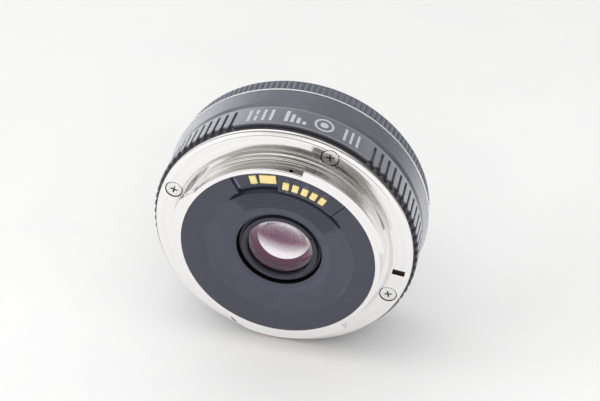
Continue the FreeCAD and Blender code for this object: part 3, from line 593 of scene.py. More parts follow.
def rear_cover_black():
    """Sparked plastic, darker outside 19 mm.  Painted light: a highlight ring round the opening, shade
    over the black paint of the opening's wall, light and shade on the grooves, and shade in the pocket.
    """
    color = (0.050, 0.051, 0.077)
    finish = moulded_plastic("rear_cover_black", color, (0.42, 0.55), 0.12, 0.007, 1.6)
    finish.emboss(finish.lathe_lines(0.25), 0.003)
    edge = finish.radius()
    finish.tint(finish.step(edge, 18.6, 19.2), brightened(color, 0.86))
    # painted highlight: a lighter ring from 12.4 to 12.6 mm round the opening
    finish.tint(finish.band(edge, 11.0, 12.4, 12.6, 13.6), brightened(color, 1.25))
    # black paint and painted shade on the wall round the opening
    finish.tint(finish.step(edge, OPENING_R + 0.08, OPENING_R), (0.002, 0.002, 0.003))

    inner, outer = GROOVE_R
    turns = finish.math("MULTIPLY", finish.math("SUBTRACT", edge, inner * MM), math.tau / (GROOVE_PITCH * MM))
    crest = finish.ramp(finish.math("COSINE", turns), 0.1, 0.9)
    grooved = finish.times(sector(finish, GROOVE_MIDDLE, GROOVE_HALF, 10),
                           finish.band(edge, inner, inner + 0.3, outer - 0.3, outer))
    # painted shade over the grooved sector, and painted highlights on the groove crests
    finish.tint(grooved, brightened(color, 0.68))
    finish.tint(finish.times(crest, grooved), brightened(color, 1.7))

    # painted shade in the crescent pocket
    pocket = finish.band(edge, POCKET_R + 0.05, POCKET_R + 0.25, POCKET_R + 1.05, POCKET_R + 1.25)
    finish.tint(finish.times(pocket, sector(finish, GROOVE_MIDDLE, POCKET_HALF, 5)), brightened(color, 0.4))
    return finish


def contact_gold():
    """Thin gold plate with lengthwise rubbing marks from the camera's spring pins."""
    finish = Finish("contact_gold", (1.0, 0.80, 0.34), 0.3, metallic=1.0)
    finish.gloss(finish.noise(0.6), 0.28, 0.42)
    finish.tint(finish.ramp(finish.noise(0.9), 0.4, 0.75), (1.0, 0.88, 0.50))
    finish.emboss(finish.noise(0.5, 3.0), 0.0012)
    return finish


def barrel_black():
    """Moulded barrel with painted light: a sheen at low angles, a highlight line at the undercut's edge,
    and shade in the grooves and in the undercut below the ribs.
    """
    color = (0.080, 0.083, 0.106)
    finish = moulded_plastic("barrel_black", color, (0.24, 0.34), 0.14, 0.003, 1.5)
    finish.shader.inputs["Coat Weight"].default_value = 0.5
    finish.shader.inputs["Coat Roughness"].default_value = 0.3
    # painted sheen: lighter where the barrel is seen at a low angle
    finish.painted_sheen((0.36, 0.37, 0.41), 0.37, 0.72)
    height = finish.axis_split()[1]
    # painted highlight: a light line at 2.1 to 2.2 mm, along the lower edge of the ribs and the label
    finish.tint(finish.band(height, 2.0, 2.1, 2.2, 2.4), (0.20, 0.20, 0.23))
    # painted shade in the rib grooves
    groove_shade = finish.times(finish.step(finish.radius(), RIB_R - 0.1, RIB_R - 0.35),
                             finish.step(height, RIB_TOP_Y + 0.4, RIB_TOP_Y + 0.1))
    finish.tint(groove_shade, (0.022, 0.022, 0.032))
    # painted shade in the undercut below the ribs
    finish.tint(finish.step(height, UNDERCUT_Y, UNDERCUT_Y - 0.1), (0.010, 0.010, 0.017))
    return finish


def label_grey():
    finish = Finish("label_grey", (0.52, 0.53, 0.57), 0.55)
    finish.gloss(finish.noise(0.8), 0.45, 0.65)
    finish.tint(finish.ramp(finish.noise(0.25, 2.0), 0.55, 0.8), (0.38, 0.39, 0.42))
    finish.emboss(finish.noise(0.1), 0.003)
    return finish


def index_red():
    finish = Finish("index_red", (0.55, 0.02, 0.02), 0.25, Coat_Weight=0.5)
    finish.gloss(finish.noise(0.4), 0.2, 0.35)
    finish.tint(finish.ramp(finish.noise(0.5), 0.4, 0.7), (0.42, 0.012, 0.012))
    finish.emboss(finish.noise(0.2), 0.003)
    return finish


def ring_black():
    """Slightly soft black plastic of the focus ring, with a painted sheen at low angles."""
    finish = moulded_plastic("ring_black", (0.094, 0.104, 0.130), (0.24, 0.36), 0.12, 0.004, 2.0)
    return finish.painted_sheen((0.26, 0.28, 0.33))


def felt_black():
    finish = Finish("felt_black", (0.012, 0.012, 0.012), 0.95, Sheen_Weight=0.4)
    finish.gloss(finish.noise(0.3), 0.85, 1.0)
    finish.tint(finish.ramp(finish.noise(0.08, 4.0), 0.5, 0.8), (0.04, 0.04, 0.04))
    finish.emboss(finish.noise(0.06, 4.0), 0.03)
    return finish


def board_green():
    """Solder mask over copper tracks, with fine fibres showing through."""
    finish = Finish("board_green", (0.012, 0.10, 0.045), 0.3, Coat_Weight=0.3)
    tracks = finish.add("ShaderNodeTexBrick")
    finish.link(finish.place, tracks.inputs["Vector"])
    tracks.inputs["Scale"].default_value = 900.0
    tracks.inputs["Mortar Size"].default_value = 0.03
    finish.tint(tracks.outputs["Fac"], (0.04, 0.22, 0.09))
    finish.tint(finish.ramp(finish.noise(0.6), 0.55, 0.7), (0.02, 0.14, 0.06))
    finish.gloss(finish.noise(1.0), 0.22, 0.4)
    finish.emboss(finish.noise(0.15), 0.004)
    return finish


def flex_amber():
    finish = Finish("flex_amber", (0.45, 0.16, 0.02), 0.3, Coat_Weight=0.4)
    finish.gloss(finish.noise(0.8), 0.2, 0.35)
    finish.tint(finish.ramp(finish.noise(0.5), 0.45, 0.6), (0.6, 0.28, 0.06))
    finish.emboss(finish.noise(0.4), 0.004)
    return finish


def glass(name, color=(1.0, 1.0, 1.0), reflection=(0.30, 0.10, 0.20)):
    """Optical glass with a coating that reflects a little magenta light."""
    finish = Finish(name, color, 0.0, Transmission_Weight=1.0, IOR=1.6, Specular_Tint=(*reflection, 1.0))
    finish.tint(finish.ramp(finish.noise(5.0, 1.0), 0.3, 0.9), brightened(color, 0.98))
    return finish


def lit_glass():
    """Painted light: the rear doublet's back face is emissive, in place of the daylight that comes through a
    real
    lens: white towards the floor below, fading to mauve above and round the bright disc."""
    finish = glass("lit_glass")
    _, y, z = finish.axis_split()
    back = finish.step(y, GLOW_FACE_Y, GLOW_FACE_Y - 0.15)
    disc = finish.times(finish.step(finish.radius(), GLOW_R, GLOW_R - 0.1), finish.step(z, 0.3, -4.8))
    glow = finish.math("ADD", finish.times(disc, 0.78), 0.045)
    hue = finish.blend(finish.ramp(disc, 0.0, 0.3), (0.95, 0.54, 0.80, 1.0), (1.0, 1.0, 1.0, 1.0))
    finish.link(hue, finish.shader.inputs["Emission Color"])
    finish.link(finish.times(back, glow), finish.shader.inputs["Emission Strength"])
    return finish


FINISHES = (
    bayonet_chrome(),
    screw_steel(),
    # dark metal, darkened further as painted shade, so that the side screw deep in the pin hole looks dark
    machined_alloy("dark_screw", (0.05, 0.05, 0.055)),
    rear_cover_black(),
    # an edge tone of 6.0 lightens the contact block's edges far past rubbing: a painted highlight
    moulded_plastic("contact_black", (0.034, 0.035, 0.054), (0.22, 0.36), 0.15, 0.003, 6.0),
    contact_gold(),
    barrel_black(),
    label_grey(),
    plated_metal("trim_bright", (0.92, 0.92, 0.93), (0.08, 0.16), 0.06, 0.0004, 0.0),
    index_red(),
    moulded_plastic("knob_black", (0.03, 0.03, 0.033), (0.3, 0.45), 0.1, 0.004, 2.4),
    ring_black(),
    machined_alloy("cam_alloy", (0.62, 0.62, 0.63)),
    anodised("sleeve_black", (0.02, 0.02, 0.022)),
    moulded_plastic("gear_white", (0.75, 0.73, 0.66), (0.35, 0.5), 0.2, 0.003, 1.1),
    machined_alloy("pinion_brass", (0.80, 0.58, 0.26), (0.2, 0.35)),
    machined_alloy("motor_steel", (0.60, 0.60, 0.60), (0.22, 0.38)),
    machined_alloy("bracket_steel", (0.55, 0.55, 0.54)),
    machined_alloy("chassis_alloy", (0.58, 0.58, 0.60)),
    board_green(),
    moulded_plastic("component_black", (0.018, 0.018, 0.018), (0.45, 0.6), 0.1, 0.004, 1.5),
    flex_amber(),
    felt_black(),
    anodised("lens_barrel_black", (0.013, 0.013, 0.020)),
    anodised("retainer_black", (0.019, 0.018, 0.030), (0.3, 0.45), 0.2),
    glass("coated_glass", reflection=(0.60, 0.18, 0.34)),
    glass("inner_glass", reflection=(0.08, 0.03, 0.06)),
    # painted shade: the fourth element is tinted dark, so the lens looks dark from the front
    glass("shaded_glass", (0.05, 0.04, 0.06)),  # as the closed back of a camera darkens a lens
    lit_glass(),
    anodised("blade_black", (0.05, 0.05, 0.054), (0.35, 0.5), 0.3),
)
materials = {finish.name: finish.material for finish in FINISHES}


def fit(piece, body, finish, *nodes):
    """Give a piece its finish and its body, and let it stand for CAD nodes."""
    piece.data.materials.clear()
    piece.data.materials.append(materials[finish])
    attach(piece, body)
    if nodes:
        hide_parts(*nodes)
    return piece


def dress_cad_nodes():
    """Every CAD node takes the procedural finish that has its material's name."""
    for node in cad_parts.values():
        slot = node.data.materials[0].name.split(".")[0]
        node.data.materials.clear()
        node.data.materials.append(materials[slot])


# ---- bayonet mount ---------------------------------------------------------------------
def lug_share(angle):
    """1 on a lug, 0 between lugs; one end of each lug is a slanted lead-in."""
    best = 0.0
    for start, end in LUGS:
        if start <= angle % FULL <= end:
            return 1.0
        gap = start - angle % FULL
        if 0 < gap < LEAD_IN and start != LUGS[0][0]:
            best = 0.15 + 0.75 * (1.0 - gap / LEAD_IN)
    return best


def mount_outline(angle):
    lug = lug_share(angle)
    tip_r = SPIGOT_R + (LUG_R - SPIGOT_R) * lug
    return rounded([
        (BORE_R, SPIGOT_END, 0.12),
        (tip_r, SPIGOT_END, 0.28),
        (tip_r, LUG_FRONT, 0.12),
        (SPIGOT_R, LUG_FRONT + 0.02, 0.05),
        (SPIGOT_R, -0.85, 0.1),
        (SPIGOT_R + 0.3, -0.6, 0.1),
        (SPIGOT_R + 0.3, -0.1, 0.1),
        (SPIGOT_R + 0.12, 0.5, 0.1),
        (SPIGOT_R + 1.5, 0.5, 0.2),
        (SPIGOT_R + 2.1, 0.12, 0.15),
        (SPIGOT_R + 2.3, 0.0, 0.08),
        (FLANGE_R - 1.38, 0.0, 0.04),
        (FLANGE_R - 1.3, 0.07, 0.02),
        (FLANGE_R - 1.2, 0.05, 0.03),
        (FLANGE_R - 0.25, 0.35, 0.25),
        (FLANGE_R, 0.75, 0.15),
        (FLANGE_R, FLANGE_BACK, 0.1),
        (BORE_R, FLANGE_BACK, 0.1),
    ])


def mount_angles():
    """Even steps round the ring, with close pairs where a lug starts or ends."""
    angles = {round(index * FULL / SEGMENTS, 3) for index in range(SEGMENTS)}
    for start, end in LUGS:
        for edge in (start, end, start - LEAD_IN):
            angles.update((round(edge - 0.06, 3), round(edge, 3), round(edge + 0.06, 3)))
    return sorted(angles)


def mount_ring():
    ring = turned("bayonet_ring", mount_outline, mount_angles())

    def cutters(mesh):
        sink_radii = (SCREW_HEAD_R + 0.2, SCREW_HEAD_R + 0.18, 1.0, 1.0)
        for angle in SCREW_ANGLES:
            rod_at(mesh, sink_radii, (-0.15, 0.45, 1.3, 3.0), SCREW_R, angle, 64)
        box_at(mesh, (SLOT_R[1] - SLOT_R[0], SLOT_WIDTH, 4.0), (sum(SLOT_R) / 2, 0, 1.5), 0)
        spoke_at(mesh, (PIN_HOLE_R, PIN_HOLE_R), (BORE_R - 1, SPIGOT_R + 1), PIN_HOLE_Y, PIN_HOLE_ANGLE)
        box_at(mesh, ENGRAVED_LINE, (SCREW_R, 0, 0.0), ENGRAVED_ANGLE)

    return fit(carved(ring, cutters), "housing", "bayonet_chrome", "mount_ring")


def side_screw():
    """The screw deep in the spigot's pin hole, which holds the contact block."""
    mesh = bmesh.new()
    seat = BORE_R + 0.2
    top = BORE_R + 0.5
    radii = (0.3, 0.3, 0.44, 0.44, 0.38)
    spoke_at(mesh, radii, (BORE_R - 1.5, seat, seat, top - 0.06, top), PIN_HOLE_Y, PIN_HOLE_ANGLE)
    return fit(finished("side_screw", mesh), "housing", "dark_screw", "contact_block_screw")


def mount_screws():
    """Countersunk screws with slightly rounded heads and a cross in each."""
    mesh = bmesh.new()
    shank = SCREW_HEAD_R * 0.47
    radii = (SCREW_HEAD_R * 0.92, SCREW_HEAD_R * 0.975, SCREW_HEAD_R, SCREW_HEAD_R, shank, shank)
    heights = [SCREW_TOP + drop for drop in (0, 0.02, 0.08, 0.2, 1.15)] + [front("mount_screws")]
    for angle in SCREW_ANGLES:
        rod_at(mesh, radii, heights, SCREW_R, angle, 64)
    screws = finished("flange_screws", mesh)

    def cutters(mesh):
        for angle, turn in zip(SCREW_ANGLES, CROSS_TURNS):
            for arm in (0, 90):
                box_at(mesh, CROSS_ARM, (0, 0, SCREW_TOP + 0.1), angle + turn + arm)
                mesh.verts.ensure_lookup_table()
                bmesh.ops.translate(mesh, verts=mesh.verts[-8:], vec=polar(SCREW_R, angle))

    return fit(carved(screws, cutters, crossing=True), "housing", "screw_steel", "mount_screws")


# ---- rear cover and contacts -----------------------------------------------------------
def baffle_face(radius, angle):
    """Height of the dished cover at a radius, with its anti-reflection grooves."""
    steps = ((OPENING_R, -3.0), (12.5, -3.75), (13.3, -4.2), (18.2, -4.75), (18.9, -5.2), (24.05, -5.3))
    for (r0, y0), (r1, y1) in zip(steps, steps[1:]):
        if radius <= r1:
            y = y0 + (y1 - y0) * (radius - r0) / (r1 - r0)
            break
    inner, outer = GROOVE_R
    in_sector = smoothstep(GROOVE_HALF, GROOVE_HALF - 8.0, angle_between(angle, GROOVE_MIDDLE))
    in_band = smoothstep(inner - 0.1, inner + 0.4, radius) * smoothstep(outer, outer - 0.5, radius)
    groove = 0.5 - 0.5 * math.cos(math.tau * (radius - inner) / GROOVE_PITCH)
    return y + GROOVE_DEPTH * groove * in_sector * in_band


def pocket_depth(radius, angle):
    """A crescent pocket between the grooved disc's lip and the contacts."""
    share = angle_between(angle, POCKET_MIDDLE) / POCKET_HALF
    if share >= 1.0:
        return 0.0
    width = POCKET_WIDTH * math.sqrt(1.0 - share ** 4)
    across = radius - POCKET_R
    return POCKET_DEPTH * smoothstep(-0.02, 0.12, across) * smoothstep(width + 0.02, width - 0.12, across)


def baffle_radii():
    """Close rows over the grooves and at the pocket's walls, wide ones elsewhere."""
    rows = [OPENING_R, OPENING_R + 0.08, 10.9, 11.4, 12.0, 12.5, 12.7, 12.95, 13.2, 13.35]
    rows += spaced(GROOVE_R[0], GROOVE_ROW, 54)
    rows += spaced(18.05, 0.1, 4) + spaced(18.42, 0.04, 3) + [18.55, 18.6, 18.7] + spaced(18.85, 0.15, 4)
    rows += [19.4] + spaced(19.46, 0.04, 4) + [19.64, 19.75, 20.0] + spaced(20.5, 1.0, 3)
    return rows + [23.3, 23.8, 23.97, COVER_R]


def baffle_outline(angle):
    lip = smoothstep(POCKET_HALF + 6.0, POCKET_HALF - 12.0, angle_between(angle, POCKET_MIDDLE))
    points = []
    for radius in baffle_radii():
        y = baffle_face(radius, angle)
        y -= 0.3 * lip * smoothstep(17.9, 18.3, radius) * smoothstep(18.6, 18.4, radius)
        y += pocket_depth(radius, angle)
        y += 0.1 * smoothstep(23.9, COVER_R, radius)
        points.append((radius, max(y, SPIGOT_END)))
    wall = COVER_R - 1.0
    back = [(COVER_R, -1.0), (wall, -1.0), (wall, -4.2), (20.2, -3.2), (11.7, -2.6), (11.7, -1.0)]
    return points + back + [(OPENING_R, -1.0)]


def rear_baffle():
    cover = turned("rear_cover", baffle_outline)

    def cutters(mesh):
        start, end = CONTACT_SPAN
        angles = spaced(start - 0.4, (end - start + 0.8) / 60, 61)
        outline = [(19.0, -7.0), (25.0, -7.0), (25.0, 0.5), (19.0, 0.5)]
        add_skin(mesh, [[polar(radius, angle, y) for radius, y in outline] for angle in angles], around=False)

    return fit(carved(cover, cutters), "housing", "rear_cover_black", "rear_baffle")


def contact_block():
    """A tall block with the signal pads, and a lower shelf and sill with the power pads."""
    start, end = CONTACT_SPAN
    outer = BORE_R - 0.05
    high = SPIGOT_END + 0.1
    low = high + SHELF_DROP
    sill = SPIGOT_END + 1.5

    def block(name, inner, edge, top, first, last, bevel):
        outline = [(inner, top), (edge, top), (edge, BLOCK_FLOOR), (inner, BLOCK_FLOOR)]
        return arc_block(name, outline, first, last, bevel)

    def pockets(pads, radius, length, depth, top):
        def cutters(mesh):
            for angle, width in pads:
                box_at(mesh, (length, width + 0.12, depth), (radius, 0, top), angle)

        return cutters

    tall = block("contact_block", BLOCK_R, outer, high, start, CONTACT_STEP, 0.14)
    signal_pads = [(angle, SIGNAL_PAD[1]) for angle in SIGNAL_ANGLES]
    carved(tall, pockets(signal_pads, SIGNAL_PAD_R, SIGNAL_PAD[0] + 0.14, 4.0, high))
    shelf = block("contact_shelf", SHELF_R, outer, low, CONTACT_STEP + 0.02, end, 0.1)
    carved(shelf, pockets(POWER_PADS, POWER_PAD_R, POWER_PAD_LENGTH + 0.12, 3.0, low))
    step = block("contact_sill", BLOCK_R, SHELF_R - 0.02, sill, CONTACT_STEP + 0.02, end, 0.1)
    fit(shelf, "housing", "contact_black")
    fit(step, "housing", "contact_black")
    return fit(tall, "housing", "contact_black", "contact_block")


def contact_pins():
    mesh = bmesh.new()
    for angle in SIGNAL_ANGLES:
        box_at(mesh, SIGNAL_PAD, (SIGNAL_PAD_R, 0, SPIGOT_END + SIGNAL_PAD[2] / 2), angle)
    depth = SIGNAL_PAD[2] - SHELF_DROP
    for angle, width in POWER_PADS:
        middle = SPIGOT_END + SHELF_DROP + depth / 2
        box_at(mesh, (POWER_PAD_LENGTH, width, depth), (POWER_PAD_R, 0, middle), angle)
    pins = softened(finished("contact_pads", mesh), 0.16, 4)
    return fit(pins, "housing", "contact_gold", "contact_pins")


# ---- outer barrel ----------------------------------------------------------------------
def has_ribs(angle):
    on_label = angle_between(angle, LABEL_ANGLE) < LABEL_HALF
    return not on_label and angle_between(angle, SWITCH_ANGLE) >= SWITCH_HALF


def groove_middle(angle):
    """Angle of the middle of the groove that an angle falls in."""
    return LABEL_ANGLE + (math.floor((angle - LABEL_ANGLE) / RIB_PITCH) + 0.5) * RIB_PITCH


def barrel_skin(y, angle):
    """Radius of the outer skin at a height: undercut, ribs, soft dip and flared band."""
    if y < UNDERCUT_Y + 1.2:
        middle = groove_middle(angle)
        edge = UNDERCUT_Y
        if has_ribs(middle):
            across = math.radians(angle - middle) * RIB_R
            edge += 0.55 * smoothstep(0.75, 0.3, abs(across))
        return UNDERCUT_R + (RIB_R - UNDERCUT_R) * smoothstep(edge - 0.12, edge + 0.16, y)
    dip = STEP_DEPTH * smoothstep(STEP_Y, DIP_Y[0], y)
    rise = (STEP_DEPTH + BAND_RISE) * smoothstep(DIP_Y[1], BAND_Y, y)
    flare = BAND_FLARE * max(y - BAND_Y, 0.0) / (BAND_TOP_Y - BAND_Y)
    return RIB_R - dip + rise + flare


def groove_depth(y, angle):
    middle = groove_middle(angle)
    if not has_ribs(middle):
        return 0.0
    across = math.radians(angle - middle) * RIB_R
    along = y - min(max(y, UNDERCUT_Y - 1.0), RIB_TOP_Y - 0.4)
    return RIB_GROOVE_DEPTH * smoothstep(0.46, 0.24, math.hypot(across, along))


def barrel_rows():
    """Heights of the skin's rows, close together where its shape changes."""
    rows = spaced(0.8, 0.15, 4) + [1.5, 1.6] + spaced(1.66, 0.07, 14) + spaced(2.9, 0.55, 8)
    rows += spaced(7.3, 0.1, 13) + [8.7, 8.9] + spaced(9.0, 0.1, 7) + [9.75, 9.9] + spaced(10.1, 0.2, 6)
    return rows + [11.4] + spaced(12.0, 1.0, 4) + [15.5, 15.6]


def barrel_outline(angle):
    skin = [(max(barrel_skin(y, angle) - groove_depth(y, angle), UNDERCUT_R), y) for y in barrel_rows()]
    inside = [
        (RIB_R + 0.57, BAND_TOP_Y), (32.9, BAND_TOP_Y), (32.9, 13.0), (31.4, 13.0), (31.4, 16.55),
        (28.0, 16.55), (28.0, 15.6), (30.2, 15.6), (30.2, 12.0), (31.5, 12.0), (31.5, 4.0), (28.2, 4.0),
        (28.2, 3.05), (32.43, 3.05), (32.43, 0.8),
    ]
    return skin + inside


def barrel_angles():
    """Close steps across each groove's two walls."""
    degrees = math.degrees(1 / RIB_R)
    half = [0.12, 0.27, 0.33, 0.40, 0.46, 0.60, 0.75, 0.95]
    places = [-place for place in half] + half
    angles = set()
    for index in range(RIB_COUNT):
        middle = LABEL_ANGLE + (index + 0.5) * RIB_PITCH
        angles.update(round((middle + place * degrees) % FULL, 4) for place in places)
    return sorted(angles)


def outer_barrel():
    barrel = turned("barrel", barrel_outline, barrel_angles())

    def cutters(mesh):
        box_at(mesh, (3.0, 11.0, 5.0), (SWITCH_FLAT_R + 1.0, 0, SWITCH_Y), SWITCH_ANGLE)
        spoke_at(mesh, (0.8, 0.8), (32.2, 35.0), INDEX_Y, INDEX_ANGLE)

    return fit(carved(barrel, cutters), "housing", "barrel_black", "outer_barrel")


def curved_patch(mesh, corners, radius, thick):
    """Add a thin raised mark on the barrel from (angle, y) corners, split finely."""
    inner = [polar(radius, angle, y) for angle, y in corners]
    outer = [polar(radius + thick, angle, y) for angle, y in corners]
    low = [mesh.verts.new(point) for point in inner]
    high = [mesh.verts.new(point) for point in outer]
    mesh.faces.new(low)
    mesh.faces.new(high)
    for index in range(len(corners)):
        mesh.faces.new((low[index - 1], low[index], high[index], high[index - 1]))


def printed_marks():
    """Plain printed shapes where a lens has its printed symbols; they mean nothing."""
    mesh = bmesh.new()
    low, high = MARK_Y

    def patch(corners):
        curved_patch(mesh, corners, RIB_R - 0.01, 0.02)

    def bar(angle, half_width, y0=low, y1=high):
        angles = spaced(angle - half_width, half_width / 2, 5)
        patch([(step, y0) for step in angles] + [(step, y1) for step in reversed(angles)])

    def ring(angle, outer, inner, sides=36):
        middle = (low + high) / 2
        degrees = math.degrees(1 / RIB_R)
        for side in range(sides):
            corners = []
            for turn, size in ((side, outer), (side + 1, outer), (side + 1, inner), (side, inner)):
                theta = turn * math.tau / sides
                corners.append((angle + size * math.cos(theta) * degrees, middle + size * math.sin(theta)))
            patch(corners)

    for angle in (67.5, 70.4, 73.3):
        bar(angle, 0.55)
    ring(82.5, 2.4, 1.85)
    ring(82.5, 1.0, 0.0)
    for step in range(4):
        bar(90.4 + 2.5 * step, 0.75, 3.4, 4.6 + 1.05 * step)
    for angle in (104.2, 107.4, 113.6):
        bar(angle, 0.6)
    bar(110.6, 0.6, low, 5.2)
    bar(110.6, 0.6, 5.8, high)
    return fit(finished("printed_marks", mesh), "housing", "label_grey")


def trim_ring():
    y0, y1 = rear("trim_ring"), front("trim_ring")
    ring = turned("trim_band", rounded([
        (TRIM_BORE_R, y0, 0.03), (TRIM_R, y0, 0.16), (TRIM_R, y1, 0.2), (TRIM_BORE_R, y1, 0.03),
    ]))
    return fit(ring, "housing", "trim_bright", "trim_ring")


def index_bead():
    mesh = bmesh.new()
    radii = (0.75, 0.75, 0.71, 0.6, 0.42, 0.2)
    reaches = (32.6, 33.25, 33.37, 33.5, 33.61, 33.67)
    spoke_at(mesh, radii, reaches, INDEX_Y, INDEX_ANGLE, 40)
    return fit(finished("index_bead", mesh), "housing", "index_red", "mount_index_dot")


def slider_plate():
    """Sunk plate of the focus-mode switch, with the slot that its knob slides in."""
    mesh = bmesh.new()
    top = SWITCH_FLAT_R
    box_at(mesh, (0.4, 10.9, 4.9), (top - 0.2, 0, SWITCH_Y), SWITCH_ANGLE)

    def cutters(mesh):
        box_at(mesh, (2.0, 5.4, 1.5), (top, 0, SWITCH_Y), SWITCH_ANGLE)

    plate = softened(carved(finished("slider_plate", mesh), cutters), 0.08)
    return fit(plate, "housing", "barrel_black", "switch_plate")


def slider_knob():
    """The knob at its lower stop: three ridges across a block, on a stem through the slot."""
    rest = -1.5
    half = 1.8
    base, crest = 33.3, 33.65
    section = [(-half, SWITCH_FLAT_R + 0.1), (half, SWITCH_FLAT_R + 0.1), (half, base)]
    for ridge in (1.2, 0.0, -1.2):
        section += [(ridge + 0.3, base), (ridge + 0.2, crest), (ridge - 0.2, crest), (ridge - 0.3, base)]
    section.append((-half, base))
    across = polar(1, SWITCH_ANGLE + 90)
    mesh = bmesh.new()
    rings = []
    for y in (SWITCH_Y - 1.5, SWITCH_Y + 1.5):
        rings.append([polar(radius, SWITCH_ANGLE, y) + across * (shift + rest) for shift, radius in section])
    add_skin(mesh, rings, around=False)
    box_at(mesh, (1.35, 1.8, 1.2), (31.6, rest, SWITCH_Y), SWITCH_ANGLE)
    return fit(softened(finished("slider_knob", mesh), 0.09), "switch_knob", "knob_black", "switch_knob")


# ---- focus ring and front --------------------------------------------------------------
def focus_ring():
    """The knurled grip: rounded ridges that end in a plain step at each side."""
    y0, y1 = RING_Y
    root = RING_R - KNURL_DEPTH
    insets = (0.02, 0.12, 0.3, 0.45, 0.6, 0.8, 1.2)
    rows = [y0 + inset for inset in insets] + [(y0 + y1) / 2] + [y1 - inset for inset in reversed(insets)]
    chamfer = RING_BORE_R + 0.07
    bore = [(chamfer, y1), (RING_BORE_R, y1 - 0.1), (RING_BORE_R, y0 + 0.1), (chamfer, y0)]

    def outline(angle):
        ridge = KNURL_DEPTH * abs(math.cos(math.radians(angle * KNURL_COUNT / 2))) ** 0.7
        skin = []
        for y in rows:
            end = min(y - y0, y1 - y)
            grip = smoothstep(0.35, 0.75, end)
            rim = 0.36 * smoothstep(0.0, 0.15, end) * smoothstep(0.5, 0.35, end)
            skin.append((root - 0.25 * smoothstep(0.15, 0.0, end) + ridge * grip + rim, y))
        return skin + bore

    steps = KNURL_COUNT * 12
    ring = turned("focus_grip", outline, spaced(0, FULL / steps, steps))
    return fit(ring, "focus_ring", "ring_black", "focus_ring")


def front_bezel():
    bezel = turned("front_rim", rounded([
        (28.1, 22.1, 0.1), (32.5, 22.1, 0.2), (33.0, 21.7, 0.2), (33.0, 21.3, 0.08), (31.8, 21.3, 0.05),
        (31.8, 17.45, 0.05), (28.9, 17.45, 0.05), (28.9, 21.3, 0.05), (28.1, 21.3, 0.05),
    ]))
    return fit(bezel, "housing", "barrel_black", "front_bezel")


def felt_band():
    """Felt seal between the front rim and the moving barrel, with a slightly uneven lip."""

    def outline(angle):
        wave = 0.04 * math.sin(math.radians(angle * 23)) + 0.03 * math.sin(math.radians(angle * 57))
        return rounded([
            (27.8, 19.8, 0.1), (28.8, 19.8, 0.1), (28.8, 21.15 + wave, 0.25), (27.8, 21.15 - wave, 0.25),
        ])

    return fit(turned("felt_band", outline), "housing", "felt_black", "felt_seal")


def front_barrel():
    """Moving barrel; the filter thread's ridges run round its bore."""
    crest, root = THREAD_R
    thread = []
    y, thread_end = THREAD_Y
    while y < thread_end:
        thread += [(crest, y), (crest, y + 0.1), (root, y + 0.35), (root, y + 0.45)]
        y += THREAD_PITCH
    top = front("front_barrel")
    outline = [(23.7, 6.2), (24.92, 6.2), (24.92, 17.6), (27.55, 17.6), (27.6, 17.65), (27.6, top - 0.3)]
    outline += [(27.55, top - 0.1), (27.4, top), (25.95, top), (25.75, top - 0.08), (25.62, top - 0.2)]
    outline += list(reversed(thread))
    outline += [(25.9, 20.8), (26.1, 20.5), (26.1, 18.8), (10.9, 18.8), (10.9, 17.6), (23.7, 17.6)]
    return fit(turned("moving_barrel", outline), "lens_unit", "lens_barrel_black", "front_barrel")


def name_ring():
    """Front plate with fine steps that stop reflections."""
    steps = []
    radius = 24.2
    while radius > 13.2:
        y = 20.3 - 0.4 * (radius - 12.5) / (25.0 - 12.5)
        steps.append((radius, y))
        if radius < 17.5 or radius > 23.5:
            steps.append((radius - 0.04, y + 0.06))
        radius -= 0.4
    outline = [(10.75, 20.55), (10.8, 19.6), (13.0, 19.55), (24.4, 19.1), (24.4, 18.85), (25.35, 18.85)]
    outline += [(25.4, 18.9), (25.4, 19.6), (25.0, 19.88)] + steps
    outline += [(12.5, 20.3), (12.2, 20.57), (12.1, 20.6), (10.8, 20.6)]
    return fit(turned("front_plate", outline), "lens_unit", "lens_barrel_black", "name_ring")


def retaining_ring(name, corners, notch_r, notch_y, *nodes):
    ring = turned(name, rounded(corners))

    def cutters(mesh):
        for angle in (40, 220):
            box_at(mesh, RETAINER_NOTCH, (notch_r, 0, notch_y), angle)

    return fit(carved(ring, cutters), "lens_unit", "retainer_black", *nodes)


def cell_fronts():
    front_ring = [(8.75, 20.0, 0.02), (9.93, 20.0, 0.05), (9.93, 20.55, 0.08), (9.0, 20.55, 0.08)]
    retaining_ring("front_retainer", front_ring, 9.9, 20.6, "front_retaining_ring")
    rear_ring = [
        (8.15, -2.08, 0.03), (9.0, -1.75, 0), (9.57, -1.7, 0.03), (9.57, -2.8, 0.12), (8.55, -2.8, 0.1),
        (8.3, -2.55, 0.06),
    ]
    retaining_ring("rear_retainer", rear_ring, 9.6, -2.8, "rear_retaining_ring")
    cell = turned("rear_lens_cell", rounded([
        (8.05, 8.8, 0.05), (9.4, 8.8, 0.1), (9.4, 6.85, 0.1), (14.0, 6.85, 0.1), (14.0, 6.1, 0.1),
        (10.3, 6.1, 0.1), (10.3, -2.0, 0.12), (9.62, -2.0, 0.1), (9.62, -1.65, 0.03), (9.05, -1.65, 0.03),
        (9.05, 0.02, 0.03), (7.7, 0.02, 0.05), (7.7, 3.5, 0.05), (8.05, 3.84, 0.05),
    ]))
    fit(cell, "lens_unit", "lens_barrel_black", "rear_cell")


def lens_face(vertex, radius, clear, steps=28):
    """Points of a spherical face from the axis outwards; it bulges to the front if the
    radius is positive."""
    points = []
    for step in range(steps + 1):
        height = clear * step / steps
        sag = abs(radius) - math.sqrt(radius * radius - height * height)
        points.append((height, vertex - math.copysign(sag, radius)))
    return points


